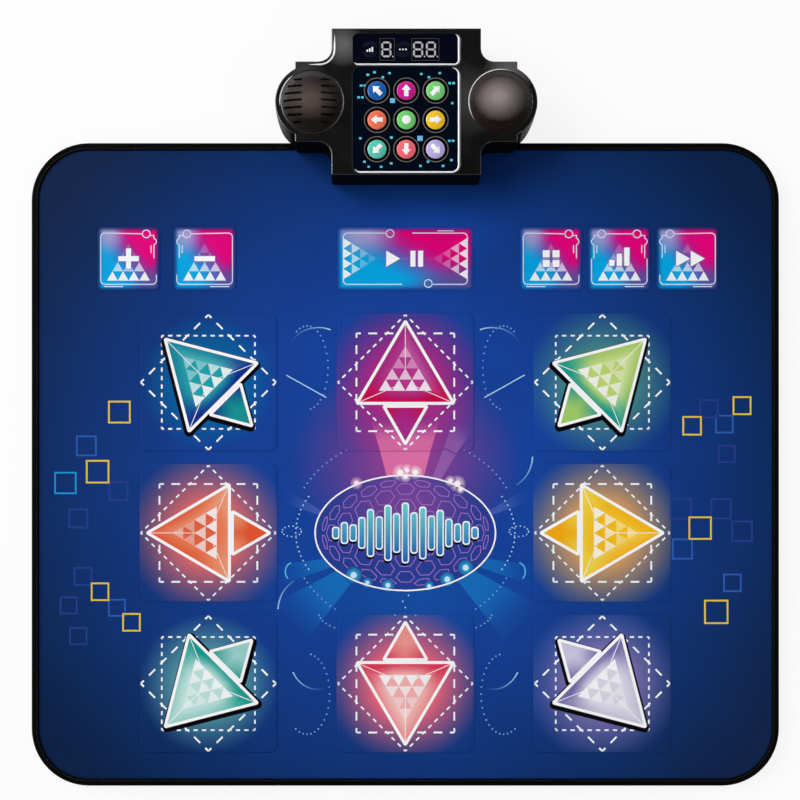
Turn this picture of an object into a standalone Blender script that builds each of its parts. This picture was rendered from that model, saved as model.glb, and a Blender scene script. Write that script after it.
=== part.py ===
# Electronic dance mat: a padded mat with pads that press in, and a moulded console on its far edge.
# Metres, +Z up. The origin is on the floor, midway across and along the whole object, and +Y runs
# from the player towards the console. Console places are offsets (u, v) from the console's centre.
import math

import bmesh
import bpy
from mathutils import Matrix

# Clearances
TOUCH_GAP = 0.0003
SLIDE_GAP = 0.0004

# Mat in plan
MAT_WIDTH = 0.930
MAT_DEPTH = 0.800
MAT_CORNER_RADIUS = 0.072
BINDING_WIDTH = 0.0102
BINDING_THICKNESS = 0.0007
BINDING_FLANGE = 0.0010
BINDING_EDGE_ROUND = 0.0012

# Mat layers, from the floor up
BASE_THICKNESS = 0.0010
FILM_THICKNESS = 0.0004
FOAM_THICKNESS = 0.0062
COVER_THICKNESS = 0.0008

# Pads: the eight step pads stand round the centre of the play field
STEP_PAD_SIDE = 0.1710
STEP_PITCH_X = 0.2445
STEP_PITCH_Y = 0.1870
PLAY_FIELD_OFFSET_Y = -0.0850
PAD_THICKNESS = 0.0030
PAD_TRAVEL = 0.0020
PAD_EDGE_ROUND = 0.0005
STEP_PAD_CORNER = 0.0090
PUCK_MARGIN = 0.0200
PUCK_CLEARANCE = 0.0020
FUNCTION_PAD_WIDTH = 0.0780
FUNCTION_PAD_DEPTH = 0.0800
FUNCTION_PAD_CORNER = 0.0070
FUNCTION_ROW_Y = 0.2554
START_PAD_WIDTH = 0.1700
VOLUME_PADS_X = 0.2963
VOLUME_PITCH = 0.0945
OPTION_PADS_X = 0.2656
OPTION_PITCH = 0.0847

# Console housing
CONSOLE_OVERHANG = 0.1244
CONSOLE_HEIGHT = 0.0380
BLOCK_WIDTH = 0.1820
BLOCK_DEPTH = 0.1780
SHOULDER_WIDTH = 0.2692
SHOULDER_DEPTH = 0.0990
POD_OFFSET = 0.1130
POD_RADIUS = 0.0457
SHOULDER_FILLET = 0.0140
HOUSING_CORNER = 0.0020
HOUSING_DRAFT = 0.0015
HOUSING_EDGE_ROUND = 0.0010
HOUSING_WALL = 0.0020
HOUSING_FLOOR = 0.0024
HOUSING_CEILING = 0.0028
HOUSING_FOOT_CHAMFER = 0.0012
PARTING_HEIGHT = 0.0170
LIP_THICKNESS = 0.0010
LIP_RISE = 0.0015
LIP_ROOT = 0.0025
REAR_UNDERSIDE = 0.0020

# Console face
WINDOW_RECESS = 0.0018
WINDOW_THICKNESS = 0.0013
FACE_SIDE_MARGIN = 0.0270
PANEL_CORNER = 0.0085
PANEL_FRONT_MARGIN = 0.0033
DISPLAY_DEPTH = 0.0380
DISPLAY_CORNER = 0.0055
DISPLAY_REAR_MARGIN = 0.0079
WINDOW_RIB = 0.0018
LENS_RADIUS = 0.0112
LENS_PITCH = 0.0350
LENS_RISE = 0.0012
LENS_FLANGE_WIDTH = 0.0014
LENS_FLANGE_THICKNESS = 0.0012
LIGHT_GUIDE_TAPER = 0.0020
DIGIT_DEPTH = 0.0260
LEVEL_MODULE_WIDTH = 0.0172
LEVEL_MODULE_U = -0.0228
SCORE_MODULE_WIDTH = 0.0325
SCORE_MODULE_U = 0.0229
DIGIT_CORNER = 0.0004

# Pod covers and the loudspeaker
COVER_RADIUS = 0.0375
COVER_SHELL = 0.0018
COVER_SEAT_WIDTH = 0.0045
COVER_EDGE_DROP = 0.0006
GRILLE_RISE = 0.0050
DOME_RISE = 0.0090
GRILLE_ROWS = 7
GRILLE_ROW_PITCH = 0.0085
GRILLE_SLOT_HEIGHT = 0.0028
GRILLE_BAND_HALF = 0.0115
GRILLE_SLOT_MARGIN = 0.0040
SPEAKER_RIM_RADIUS = 0.0360
SPEAKER_RIM_THICKNESS = 0.0015
SPEAKER_CONE_DEPTH = 0.0060
SPEAKER_BASKET_DEPTH = 0.0110
SPEAKER_RING_WALL = 0.0012
SPEAKER_RING_DROP = 0.0030
DUST_CAP_RADIUS = 0.0085
MAGNET_RADIUS = 0.0170
MAGNET_DEPTH = 0.0070

# Board, connector and ribbon
BOARD_SIDE_MARGIN = 0.0290
BOARD_END_MARGIN = 0.0140
BOARD_OFFSET_V = 0.0020
BOARD_THICKNESS = 0.0016
BOARD_CLEARANCE = 0.0020
BOARD_CORNER = 0.0030
POST_RADIUS = 0.0030
PIN_RADIUS = 0.0013
PIN_RISE = 0.0008
POST_INSET = 0.0060
RIBBON_WIDTH = 0.0300
RIBBON_THICKNESS = 0.0004
RIBBON_BINDING_MARGIN = 0.0064
CONNECTOR_WIDTH = 0.0340
CONNECTOR_DEPTH = 0.0052
CONNECTOR_HEIGHT = 0.0060
CONNECTOR_SOCKET = 0.0040

# Battery bay
BATTERY_COUNT = 3
BATTERY_LENGTH = 0.0505
BATTERY_RADIUS = 0.00725
BATTERY_NUB_RADIUS = 0.00275
BATTERY_NUB_LENGTH = 0.0010
BATTERY_SPACE = 0.0005
CONTACT_PLATE = 0.0005
CONTACT_BUMP_HEIGHT = 0.0024
CONTACT_BUMP_RADIUS = 0.0040
CONTACT_TIP_RADIUS = 0.0022
BAY_WALL = 0.0015
RAIL_WIDTH = 0.0022
RAIL_LEDGE = 0.0010
RAIL_ROOF = 0.0012
DOOR_FLANGE_WIDTH = 0.0018
DOOR_TAB_WIDTH = 0.0240
DOOR_TAB_HEIGHT = 0.0080
DOOR_RIB_COUNT = 5
DOOR_RIB_PITCH = 0.0030
DOOR_RIB_WIDTH = 0.0012
DOOR_RIB_DEPTH = 0.0005

# Power switch, on the rear wall of the right shoulder
SWITCH_INSET = 0.0156
SWITCH_HEIGHT = 0.0100
SWITCH_TRAVEL = 0.0040
KNOB_WIDTH = 0.0050
KNOB_HEIGHT = 0.0032
KNOB_PROUD = 0.0016
KNOB_EDGE_ROUND = 0.0004
SWITCH_BODY_WIDTH = 0.0150
SWITCH_BODY_DEPTH = 0.0060
SWITCH_BODY_HEIGHT = 0.0076
SWITCH_TRACK_DEPTH = 0.0030
CRADLE_WALL = 0.0012

# Fasteners and feet
SCREW_RADIUS = 0.0015
SCREW_HEAD_RADIUS = 0.0030
SCREW_HEAD_HEIGHT = 0.0016
SCREW_CLEARANCE = 0.0003
SCREW_TIP_BELOW_TOP = 0.0080
SCREW_INSET = 0.0100
SCREW_SEAT_DEPTH = 0.0020
BOSS_WALL = 0.0018
MAT_SCREW_RADIUS = 0.0018
MAT_SCREW_HEAD_RADIUS = 0.0050
MAT_SCREW_HEAD_HEIGHT = 0.0007
MAT_SCREW_SIDE_MARGIN = 0.0170
MAT_SCREW_BINDING_MARGIN = 0.0164
MAT_SCREW_REACH = 0.0080
MAT_BOSS_CAP = 0.0012
FOOT_RADIUS = 0.0070
FOOT_RECESS = 0.0012
FOOT_EDGE = 0.0003
REAR_FOOT_SIDE_MARGIN = 0.0250
REAR_FOOT_END_MARGIN = 0.0330
FRONT_FOOT_U = 0.0340
FRONT_FOOT_END_MARGIN = 0.0130

# Levels worked out from the sizes above
FILM_LOW = BASE_THICKNESS + TOUCH_GAP
FILM_TOP = FILM_LOW + FILM_THICKNESS
FOAM_LOW = FILM_TOP + TOUCH_GAP
FOAM_TOP = FOAM_LOW + FOAM_THICKNESS
COVER_LOW = FOAM_TOP + TOUCH_GAP
MAT_FACE = COVER_LOW + COVER_THICKNESS
BINDING_TOP = MAT_FACE + TOUCH_GAP + BINDING_THICKNESS
PAD_LOW = MAT_FACE - PAD_THICKNESS
LEDGE_TOP = PAD_LOW - PAD_TRAVEL - TOUCH_GAP
PUCK_LOW = FILM_TOP + PAD_TRAVEL + TOUCH_GAP
FRONT_UNDERSIDE = BINDING_TOP + TOUCH_GAP
CEILING_LOW = CONSOLE_HEIGHT - HOUSING_CEILING
RECESS_FLOOR = CONSOLE_HEIGHT - WINDOW_RECESS
WINDOW_LOW = RECESS_FLOOR + TOUCH_GAP
DOOR_TOP = REAR_UNDERSIDE + HOUSING_FLOOR
BATTERY_AXIS = DOOR_TOP + TOUCH_GAP + BATTERY_RADIUS
BAY_ROOF_LOW = BATTERY_AXIS + BATTERY_RADIUS + TOUCH_GAP
BAY_ROOF_TOP = BAY_ROOF_LOW + BAY_WALL
BOARD_LOW = BAY_ROOF_TOP + BOARD_CLEARANCE
BOARD_TOP = BOARD_LOW + BOARD_THICKNESS
SCREW_SEAT = FRONT_UNDERSIDE + SCREW_SEAT_DEPTH
SCREW_TIP = CONSOLE_HEIGHT - SCREW_TIP_BELOW_TOP
MAT_SCREW_TIP = FRONT_UNDERSIDE + HOUSING_FLOOR + MAT_SCREW_REACH

# Places and extents worked out from the sizes above
MAT_CENTRE_Y = -CONSOLE_OVERHANG / 2
MAT_BACK_Y = MAT_CENTRE_Y + MAT_DEPTH / 2
CONSOLE_Y = MAT_BACK_Y + CONSOLE_OVERHANG - BLOCK_DEPTH / 2
MAT_EDGE_V = MAT_BACK_Y - CONSOLE_Y
PLAY_FIELD_Y = MAT_CENTRE_Y + PLAY_FIELD_OFFSET_Y
FUNCTION_PADS_Y = MAT_CENTRE_Y + FUNCTION_ROW_Y
FACE_WIDTH = BLOCK_WIDTH - 2 * FACE_SIDE_MARGIN
PANEL_DEPTH = BLOCK_DEPTH - PANEL_FRONT_MARGIN - WINDOW_RIB - DISPLAY_DEPTH - DISPLAY_REAR_MARGIN
PANEL_V = -BLOCK_DEPTH / 2 + PANEL_FRONT_MARGIN + PANEL_DEPTH / 2
DISPLAY_V = PANEL_V + PANEL_DEPTH / 2 + WINDOW_RIB + DISPLAY_DEPTH / 2
BOARD_WIDTH = BLOCK_WIDTH - 2 * BOARD_SIDE_MARGIN
BOARD_DEPTH = BLOCK_DEPTH - 2 * BOARD_END_MARGIN
RIBBON_V = MAT_EDGE_V - BINDING_WIDTH - RIBBON_BINDING_MARGIN
MAT_SCREW_U = BLOCK_WIDTH / 2 - MAT_SCREW_SIDE_MARGIN
MAT_SCREW_V = MAT_EDGE_V - BINDING_WIDTH - MAT_SCREW_BINDING_MARGIN
REAR_FOOT_U = BLOCK_WIDTH / 2 - REAR_FOOT_SIDE_MARGIN
REAR_FOOT_V = BLOCK_DEPTH / 2 - REAR_FOOT_END_MARGIN
FRONT_FOOT_V = -BLOCK_DEPTH / 2 + FRONT_FOOT_END_MARGIN
SWITCH_U = SHOULDER_WIDTH / 2 - SWITCH_INSET
REAR_WALL_V = BLOCK_DEPTH / 2 - HOUSING_WALL
BATTERY_PITCH = 2 * BATTERY_RADIUS + BATTERY_SPACE
BAY_HALF_DEPTH = (BATTERY_COUNT - 1) * BATTERY_PITCH / 2 + BATTERY_RADIUS + TOUCH_GAP
BAY_BACK_V = REAR_WALL_V - HOUSING_DRAFT - TOUCH_GAP
BAY_V = BAY_BACK_V - BAY_WALL - BAY_HALF_DEPTH
CONTACT_SPACE = 2 * TOUCH_GAP + CONTACT_PLATE + CONTACT_BUMP_HEIGHT
BAY_HALF_WIDTH = BATTERY_LENGTH / 2 + CONTACT_SPACE
SHOULDER_WALL_V = SHOULDER_DEPTH / 2 - HOUSING_WALL

# Circles are drawn with these numbers of sides, and arcs in these numbers of steps
SMALL_ROUND_SIDES = 12
ROUND_SIDES = 16
LARGE_ROUND_SIDES = 28
CORNER_STEPS = 2
MAT_CORNER_STEPS = 6
POD_STEPS = 7
FILLET_STEPS = 5
COVER_CROWN_STEPS = 5
COVER_INSIDE_STEPS = 4
LENS_CROWN_STEPS = 2

# Points closer than this are welded, and the binding's faces that meet at less than this angle,
# in degrees, are shaded as one
WELD_DISTANCE = 0.00001
SMOOTH_ANGLE = 50

# An edge round is drawn through one middle point, this share of its radius from both faces
ROUND_MIDDLE = 0.3

# A screw's head and tip are eased by these shares of the head's height and of the shaft's radius
HEAD_EDGE_SHARE = 0.33
SHAFT_TIP_SHARE = 0.6

# An extra length that carries a cutter past the face that it cuts
CUT_OVER = 0.0020

# How far the members of one solid are sunk into each other, and a step that keeps their
# faces out of one plane
JOIN_OVERLAP = 0.0005
FACE_STEP = 0.0001

# Colour, roughness and metallic value of each finish
FINISHES = {
    "navy vinyl": ((0.020, 0.085, 0.340), 0.45, 0.0),
    "black tape": ((0.012, 0.012, 0.014), 0.70, 0.0),
    "grey cloth": ((0.100, 0.100, 0.110), 0.95, 0.0),
    "clear film": ((0.550, 0.560, 0.580), 0.35, 0.0),
    "foam": ((0.180, 0.180, 0.190), 0.95, 0.0),
    "console black": ((0.022, 0.022, 0.025), 0.42, 0.0),
    "gloss black": ((0.030, 0.028, 0.030), 0.12, 0.0),
    "dark window": ((0.006, 0.010, 0.030), 0.15, 0.0),
    "display grey": ((0.030, 0.030, 0.034), 0.40, 0.0),
    "board green": ((0.015, 0.160, 0.060), 0.45, 0.0),
    "connector white": ((0.750, 0.740, 0.700), 0.45, 0.0),
    "steel": ((0.560, 0.570, 0.590), 0.30, 1.0),
    "rubber": ((0.020, 0.020, 0.020), 0.85, 0.0),
    "battery": ((0.060, 0.130, 0.090), 0.35, 0.2),
    "blue": ((0.010, 0.120, 0.560), 0.35, 0.0),
    "magenta": ((0.640, 0.010, 0.280), 0.35, 0.0),
    "green": ((0.160, 0.620, 0.130), 0.35, 0.0),
    "orange": ((0.870, 0.170, 0.060), 0.35, 0.0),
    "yellow": ((0.860, 0.520, 0.010), 0.35, 0.0),
    "mint": ((0.060, 0.520, 0.380), 0.35, 0.0),
    "coral": ((0.840, 0.090, 0.130), 0.35, 0.0),
    "lavender": ((0.420, 0.320, 0.740), 0.35, 0.0),
}

# Each direction's place in the ring of pads and in the grid of lights, with its colour
DIRECTIONS = (
    ("up_left", -1, 1, "blue"),
    ("up", 0, 1, "magenta"),
    ("up_right", 1, 1, "green"),
    ("left", -1, 0, "orange"),
    ("right", 1, 0, "yellow"),
    ("down_left", -1, -1, "mint"),
    ("down", 0, -1, "coral"),
    ("down_right", 1, -1, "lavender"),
)

# Each function pad's place along the row, and its width
FUNCTION_PADS = (
    ("volume_up_pad", -VOLUME_PADS_X - VOLUME_PITCH / 2, FUNCTION_PAD_WIDTH),
    ("volume_down_pad", -VOLUME_PADS_X + VOLUME_PITCH / 2, FUNCTION_PAD_WIDTH),
    ("start_pad", 0.0, START_PAD_WIDTH),
    ("mode_pad", OPTION_PADS_X - OPTION_PITCH, FUNCTION_PAD_WIDTH),
    ("difficulty_pad", OPTION_PADS_X, FUNCTION_PAD_WIDTH),
    ("demo_pad", OPTION_PADS_X + OPTION_PITCH, FUNCTION_PAD_WIDTH),
)


def clear_scene():
    for item in list(bpy.data.objects):
        bpy.data.objects.remove(item, do_unlink=True)


def new_collection(name):
    collection = bpy.data.collections.new(name)
    bpy.context.scene.collection.children.link(collection)
    return collection


def finish_material(name, finish):
    colour, roughness, metallic = FINISHES[finish]
    material = bpy.data.materials.new(name)
    material.use_nodes = True
    shader = material.node_tree.nodes["Principled BSDF"]
    shader.inputs["Base Color"].default_value = (*colour, 1.0)
    shader.inputs["Roughness"].default_value = roughness
    shader.inputs["Metallic"].default_value = metallic
    material.diffuse_color = (*colour, 1.0)
    return material


def add_piece(name, mesh, finish, location=(0.0, 0.0, 0.0)):
    # A named sub-part with its own material
    piece = bpy.data.objects.new(name, mesh)
    piece.location = location
    mesh.materials.append(finish_material(name, finish))
    PARTS.objects.link(piece)
    return piece


def add_cutter(name, mesh, location=(0.0, 0.0, 0.0)):
    cutter = bpy.data.objects.new(name, mesh)
    cutter.location = location
    cutter.hide_render = True
    cutter.display_type = "WIRE"
    CUTTERS.objects.link(cutter)
    return cutter


def combine(piece, tool, operation):
    modifier = piece.modifiers.new(tool.name, "BOOLEAN")
    modifier.operation = operation
    modifier.object = tool
    modifier.solver = "EXACT"


def cut(piece, *tools):
    for tool in tools:
        combine(piece, tool, "DIFFERENCE")


def join(piece, *tools):
    for tool in tools:
        combine(piece, tool, "UNION")


def arc(centre, radius, start, end, steps):
    # Points along an arc, from one angle to the other, in degrees
    points = []
    for step in range(steps + 1):
        angle = math.radians(start + (end - start) * step / steps)
        x = centre[0] + radius * math.cos(angle)
        y = centre[1] + radius * math.sin(angle)
        points.append((x, y))
    return points


def rounded_rectangle(half_width, half_depth, radius, centre=(0.0, 0.0), inset=0.0, steps=CORNER_STEPS):
    width, depth = half_width - inset, half_depth - inset
    radius = max(radius - inset, TOUCH_GAP)
    points = []
    for sign_x, sign_y, start in ((1, 1, 0), (-1, 1, 90), (-1, -1, 180), (1, -1, 270)):
        corner = (centre[0] + sign_x * (width - radius), centre[1] + sign_y * (depth - radius))
        points += arc(corner, radius, start, start + 90, steps)
    return points


def circle(centre, radius, sides=ROUND_SIDES):
    return arc(centre, radius, 0, 360, sides)[:-1]


def console_outline(inset):
    # One quarter runs from the pod's end, round the shoulder, to the middle of the block's back
    pod_radius = POD_RADIUS - inset
    shoulder_u = SHOULDER_WIDTH / 2 - inset
    shoulder_v = SHOULDER_DEPTH / 2 - inset
    block_u = BLOCK_WIDTH / 2 - inset
    block_v = BLOCK_DEPTH / 2 - inset
    corner = max(HOUSING_CORNER - inset, TOUCH_GAP)
    fillet_centre = (BLOCK_WIDTH / 2 + SHOULDER_FILLET, SHOULDER_DEPTH / 2 + SHOULDER_FILLET)
    meeting = math.degrees(math.acos((shoulder_u - POD_OFFSET) / pod_radius))
    quarter = arc((POD_OFFSET, 0.0), pod_radius, 0, meeting, POD_STEPS)
    quarter += arc((shoulder_u - corner, shoulder_v - corner), corner, 0, 90, CORNER_STEPS)
    quarter += arc(fillet_centre, SHOULDER_FILLET + inset, 270, 180, FILLET_STEPS)
    quarter += arc((block_u - corner, block_v - corner), corner, 0, 90, CORNER_STEPS)
    left = [(-u, v) for u, v in reversed(quarter)]
    upper = quarter + left
    lower = [(u, -v) for u, v in reversed(upper)]
    return [(u, v + CONSOLE_Y) for u, v in upper + lower[1:-1]]


def skin_rings(mesh_name, rings, closed=False):
    # A solid through a stack of outlines: capped at both ends, or closed back onto the first
    shape = bmesh.new()
    layers = []
    for outline, height in rings:
        layers.append([shape.verts.new((x, y, height)) for x, y in outline])
    pairs = list(zip(layers, layers[1:]))
    if closed:
        pairs.append((layers[-1], layers[0]))
    for low, high in pairs:
        count = len(low)
        for i in range(count):
            j = (i + 1) % count
            shape.faces.new((low[i], low[j], high[j], high[i]))
    if not closed:
        shape.faces.new(reversed(layers[0]))
        shape.faces.new(layers[-1])
    bmesh.ops.recalc_face_normals(shape, faces=shape.faces)
    return mesh_from(shape, mesh_name)


def mesh_from(shape, name):
    mesh = bpy.data.meshes.new(name)
    shape.to_mesh(mesh)
    shape.free()
    return mesh


def prism_mesh(name, outline, low, high):
    return skin_rings(name, [(outline, low), (outline, high)])


def box_mesh(name, size, centre):
    shape = bmesh.new()
    bmesh.ops.create_cube(shape, size=1.0)
    bmesh.ops.scale(shape, vec=size, verts=shape.verts)
    bmesh.ops.translate(shape, vec=centre, verts=shape.verts)
    return mesh_from(shape, name)


def boxes_mesh(name, boxes):
    # Several separate boxes in one mesh, each as its low and high corners
    shape = bmesh.new()
    for low, high in boxes:
        size = [b - a for a, b in zip(low, high)]
        centre = [(a + b) / 2 for a, b in zip(low, high)]
        made = bmesh.ops.create_cube(shape, size=1.0)["verts"]
        bmesh.ops.scale(shape, vec=size, verts=made)
        bmesh.ops.translate(shape, vec=centre, verts=made)
    return mesh_from(shape, name)


def rod_mesh(name, centre, radius, low, high, sides=SMALL_ROUND_SIDES):
    return cone_mesh(name, centre, radius, radius, low, high, sides)


def cone_mesh(name, centre, low_radius, high_radius, low, high, sides=ROUND_SIDES):
    shape = bmesh.new()
    place = Matrix.Translation((centre[0], centre[1], (low + high) / 2))
    bmesh.ops.create_cone(
        shape,
        cap_ends=True,
        segments=sides,
        radius1=low_radius,
        radius2=high_radius,
        depth=high - low,
        matrix=place,
    )
    return mesh_from(shape, name)


def plate_mesh(name, outlines, low, high):
    # A flat plate: the first outline is its edge, and the others are holes through it
    curve = bpy.data.curves.new(name, "CURVE")
    curve.dimensions = "2D"
    curve.fill_mode = "BOTH"
    curve.extrude = (high - low) / 2
    for outline in outlines:
        spline = curve.splines.new("POLY")
        spline.points.add(len(outline) - 1)
        for point, (x, y) in zip(spline.points, outline):
            point.co = (x, y, 0.0, 1.0)
        spline.use_cyclic_u = True
    drawing = bpy.data.objects.new(name, curve)
    drawing.location.z = (low + high) / 2
    CUTTERS.objects.link(drawing)
    bpy.context.view_layer.update()
    evaluated = drawing.evaluated_get(bpy.context.evaluated_depsgraph_get())
    mesh = bpy.data.meshes.new_from_object(evaluated)
    mesh.transform(drawing.matrix_world)
    bpy.data.objects.remove(drawing, do_unlink=True)
    shape = bmesh.new()
    shape.from_mesh(mesh)
    bpy.data.meshes.remove(mesh)
    bmesh.ops.remove_doubles(shape, verts=shape.verts, dist=WELD_DISTANCE)
    bmesh.ops.recalc_face_normals(shape, faces=shape.faces)
    return mesh_from(shape, name)


def turned_mesh(name, profile):
    # The profile runs from the axis at the top, down the outer side, to the axis at the bottom
    shape = bmesh.new()
    points = [shape.verts.new((radius, 0.0, height)) for radius, height in profile]
    for upper, lower in zip(points, points[1:]):
        shape.edges.new((upper, lower))
    return mesh_from(shape, name)


def turn(piece, sides):
    screw = piece.modifiers.new("turn", "SCREW")
    screw.steps = sides
    screw.render_steps = sides
    screw.use_merge_vertices = True
    screw.merge_threshold = WELD_DISTANCE
    return piece


def smooth_sides(piece):
    piece.data.shade_smooth()
    piece.data.set_sharp_from_angle(angle=math.radians(SMOOTH_ANGLE))


def smooth_turned(piece):
    modifier = piece.modifiers.get("turn")
    modifier.use_smooth_shade = True
    return piece


def dome_points(radius, rise, base, steps):
    # A shallow spherical crown, from its crest to its edge
    sphere = (radius * radius + rise * rise) / (2 * rise)
    half_angle = math.asin(radius / sphere)
    points = []
    for step in range(steps + 1):
        angle = half_angle * step / steps
        points.append((sphere * math.sin(angle), base + rise - sphere * (1 - math.cos(angle))))
    return points


def console_point(u, v):
    return (u, CONSOLE_Y + v)


def mat_outline(inset):
    return rounded_rectangle(
        MAT_WIDTH / 2,
        MAT_DEPTH / 2,
        MAT_CORNER_RADIUS,
        (0.0, MAT_CENTRE_Y),
        inset,
        MAT_CORNER_STEPS,
    )


def mat_screw_places():
    return [console_point(side * MAT_SCREW_U, MAT_SCREW_V) for side in (-1, 1)]


def ribbon_slot():
    # The slot that the ribbon passes through in the mat's layers and in the console's floor
    half_width = RIBBON_WIDTH / 2 + SLIDE_GAP
    half_depth = RIBBON_THICKNESS / 2 + SLIDE_GAP
    return rounded_rectangle(half_width, half_depth, half_depth, console_point(0.0, RIBBON_V))


def pad_layout():
    # Name, centre, half width, half depth and corner radius of every pad
    pads = []
    for name, column, row, _colour in DIRECTIONS:
        centre = (column * STEP_PITCH_X, PLAY_FIELD_Y + row * STEP_PITCH_Y)
        half = STEP_PAD_SIDE / 2
        pads.append(("step_pad_" + name, centre, half, half, STEP_PAD_CORNER))
    for name, x, width in FUNCTION_PADS:
        halves = (width / 2, FUNCTION_PAD_DEPTH / 2)
        pads.append((name, (x, FUNCTION_PADS_Y), *halves, FUNCTION_PAD_CORNER))
    return pads


def make_mat_layers():
    screws = mat_screw_places()
    shaft_holes = [circle(place, MAT_SCREW_RADIUS + SCREW_CLEARANCE, SMALL_ROUND_SIDES) for place in screws]
    head_holes = [circle(place, MAT_SCREW_HEAD_RADIUS + SCREW_CLEARANCE) for place in screws]
    gripped = BINDING_FLANGE + TOUCH_GAP
    base_edge = mat_outline(BINDING_WIDTH + TOUCH_GAP)
    base = plate_mesh("base_cloth", [base_edge, *head_holes], 0.0, BASE_THICKNESS)
    add_piece("base_cloth", base, "grey cloth")
    film = plate_mesh("contact_film", [mat_outline(gripped), *shaft_holes], FILM_LOW, FILM_TOP)
    add_piece("contact_film", film, "clear film")
    openings = []
    for _name, centre, half_width, half_depth, corner in pad_layout():
        openings.append(rounded_rectangle(half_width, half_depth, corner, centre, -SLIDE_GAP))
    outlines = [mat_outline(gripped), *openings, *shaft_holes, ribbon_slot()]
    add_piece("top_cover", plate_mesh("top_cover", outlines, COVER_LOW, MAT_FACE), "navy vinyl")
    outlines = [mat_outline(gripped), *shaft_holes, ribbon_slot()]
    foam = add_piece("foam_core", plate_mesh("foam_core", outlines, FOAM_LOW, FOAM_TOP), "foam")
    for name, centre, half_width, half_depth, corner in pad_layout():
        cut(foam, make_pocket_cutter(name, centre, half_width, half_depth, corner))


def make_pocket_cutter(name, centre, half_width, half_depth, corner):
    # The pad drops into the upper step, and its contact block into the smaller window below
    pocket = rounded_rectangle(half_width, half_depth, corner, centre, -SLIDE_GAP)
    window = rounded_rectangle(half_width, half_depth, corner, centre, PUCK_MARGIN - PUCK_CLEARANCE)
    rings = [
        (window, FOAM_LOW - CUT_OVER),
        (window, LEDGE_TOP),
        (pocket, LEDGE_TOP),
        (pocket, FOAM_TOP + CUT_OVER),
    ]
    return add_cutter(name + "_pocket", skin_rings(name + "_pocket", rings))


def make_edge_binding():
    # Folded tape with a C section: its lower flange lies on the floor and its upper one on the cover
    middle = BINDING_EDGE_ROUND * ROUND_MIDDLE
    rings = [
        (BINDING_WIDTH, 0.0),
        (BINDING_EDGE_ROUND, 0.0),
        (middle, middle),
        (0.0, BINDING_EDGE_ROUND),
        (0.0, BINDING_TOP - BINDING_EDGE_ROUND),
        (middle, BINDING_TOP - middle),
        (BINDING_EDGE_ROUND, BINDING_TOP),
        (BINDING_WIDTH, BINDING_TOP),
        (BINDING_WIDTH, MAT_FACE + TOUCH_GAP),
        (BINDING_FLANGE, MAT_FACE + TOUCH_GAP),
        (BINDING_FLANGE, BASE_THICKNESS),
        (BINDING_WIDTH, BASE_THICKNESS),
    ]
    mesh = skin_rings("edge_binding", [(mat_outline(inset), z) for inset, z in rings], closed=True)
    binding = add_piece("edge_binding", mesh, "black tape")
    smooth_sides(binding)


def make_pad(name, centre, half_width, half_depth, corner, finish):
    # A firm printed square with its contact block below, on a vertical slide
    def outline(inset):
        return rounded_rectangle(half_width, half_depth, corner, (0.0, 0.0), inset)

    rings = [
        (outline(PUCK_MARGIN), PUCK_LOW - MAT_FACE),
        (outline(PUCK_MARGIN), PAD_LOW - MAT_FACE),
        (outline(0.0), PAD_LOW - MAT_FACE),
        (outline(0.0), -PAD_EDGE_ROUND),
        (outline(PAD_EDGE_ROUND), 0.0),
    ]
    add_piece(name, skin_rings(name, rings), finish, (*centre, MAT_FACE))


def make_pads():
    colours = {"step_pad_" + name: colour for name, _column, _row, colour in DIRECTIONS}
    for name, centre, half_width, half_depth, corner in pad_layout():
        make_pad(name, centre, half_width, half_depth, corner, colours.get(name, "navy vinyl"))


def housing_screw_places():
    u = BLOCK_WIDTH / 2 - SCREW_INSET
    v = BLOCK_DEPTH / 2 - SCREW_INSET
    return {
        "housing_screw_front_left": console_point(-u, -v),
        "housing_screw_front_right": console_point(u, -v),
        "housing_screw_back_left": console_point(-u, v),
        "housing_screw_back_right": console_point(u, v),
    }


def post_places():
    u = BOARD_WIDTH / 2 - POST_INSET
    v = BOARD_DEPTH / 2 - POST_INSET
    return [console_point(su * u, BOARD_OFFSET_V + sv * v) for su in (-1, 1) for sv in (-1, 1)]


def lens_places():
    places = {"indicator_lens_centre": (console_point(0.0, PANEL_V), "green")}
    for name, column, row, colour in DIRECTIONS:
        place = console_point(column * LENS_PITCH, PANEL_V + row * LENS_PITCH)
        places["indicator_lens_" + name] = (place, colour)
    return places


def digit_modules():
    return (
        ("level_digit_module", LEVEL_MODULE_U, LEVEL_MODULE_WIDTH),
        ("score_digit_module", SCORE_MODULE_U, SCORE_MODULE_WIDTH),
    )


def foot_places():
    places = {}
    for side, word in ((-1, "left"), (1, "right")):
        front = (console_point(side * FRONT_FOOT_U, FRONT_FOOT_V), MAT_FACE + TOUCH_GAP, FRONT_UNDERSIDE)
        rear = (console_point(side * REAR_FOOT_U, REAR_FOOT_V), 0.0, REAR_UNDERSIDE)
        places["rubber_foot_front_" + word] = front
        places["rubber_foot_rear_" + word] = rear
    return places


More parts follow.
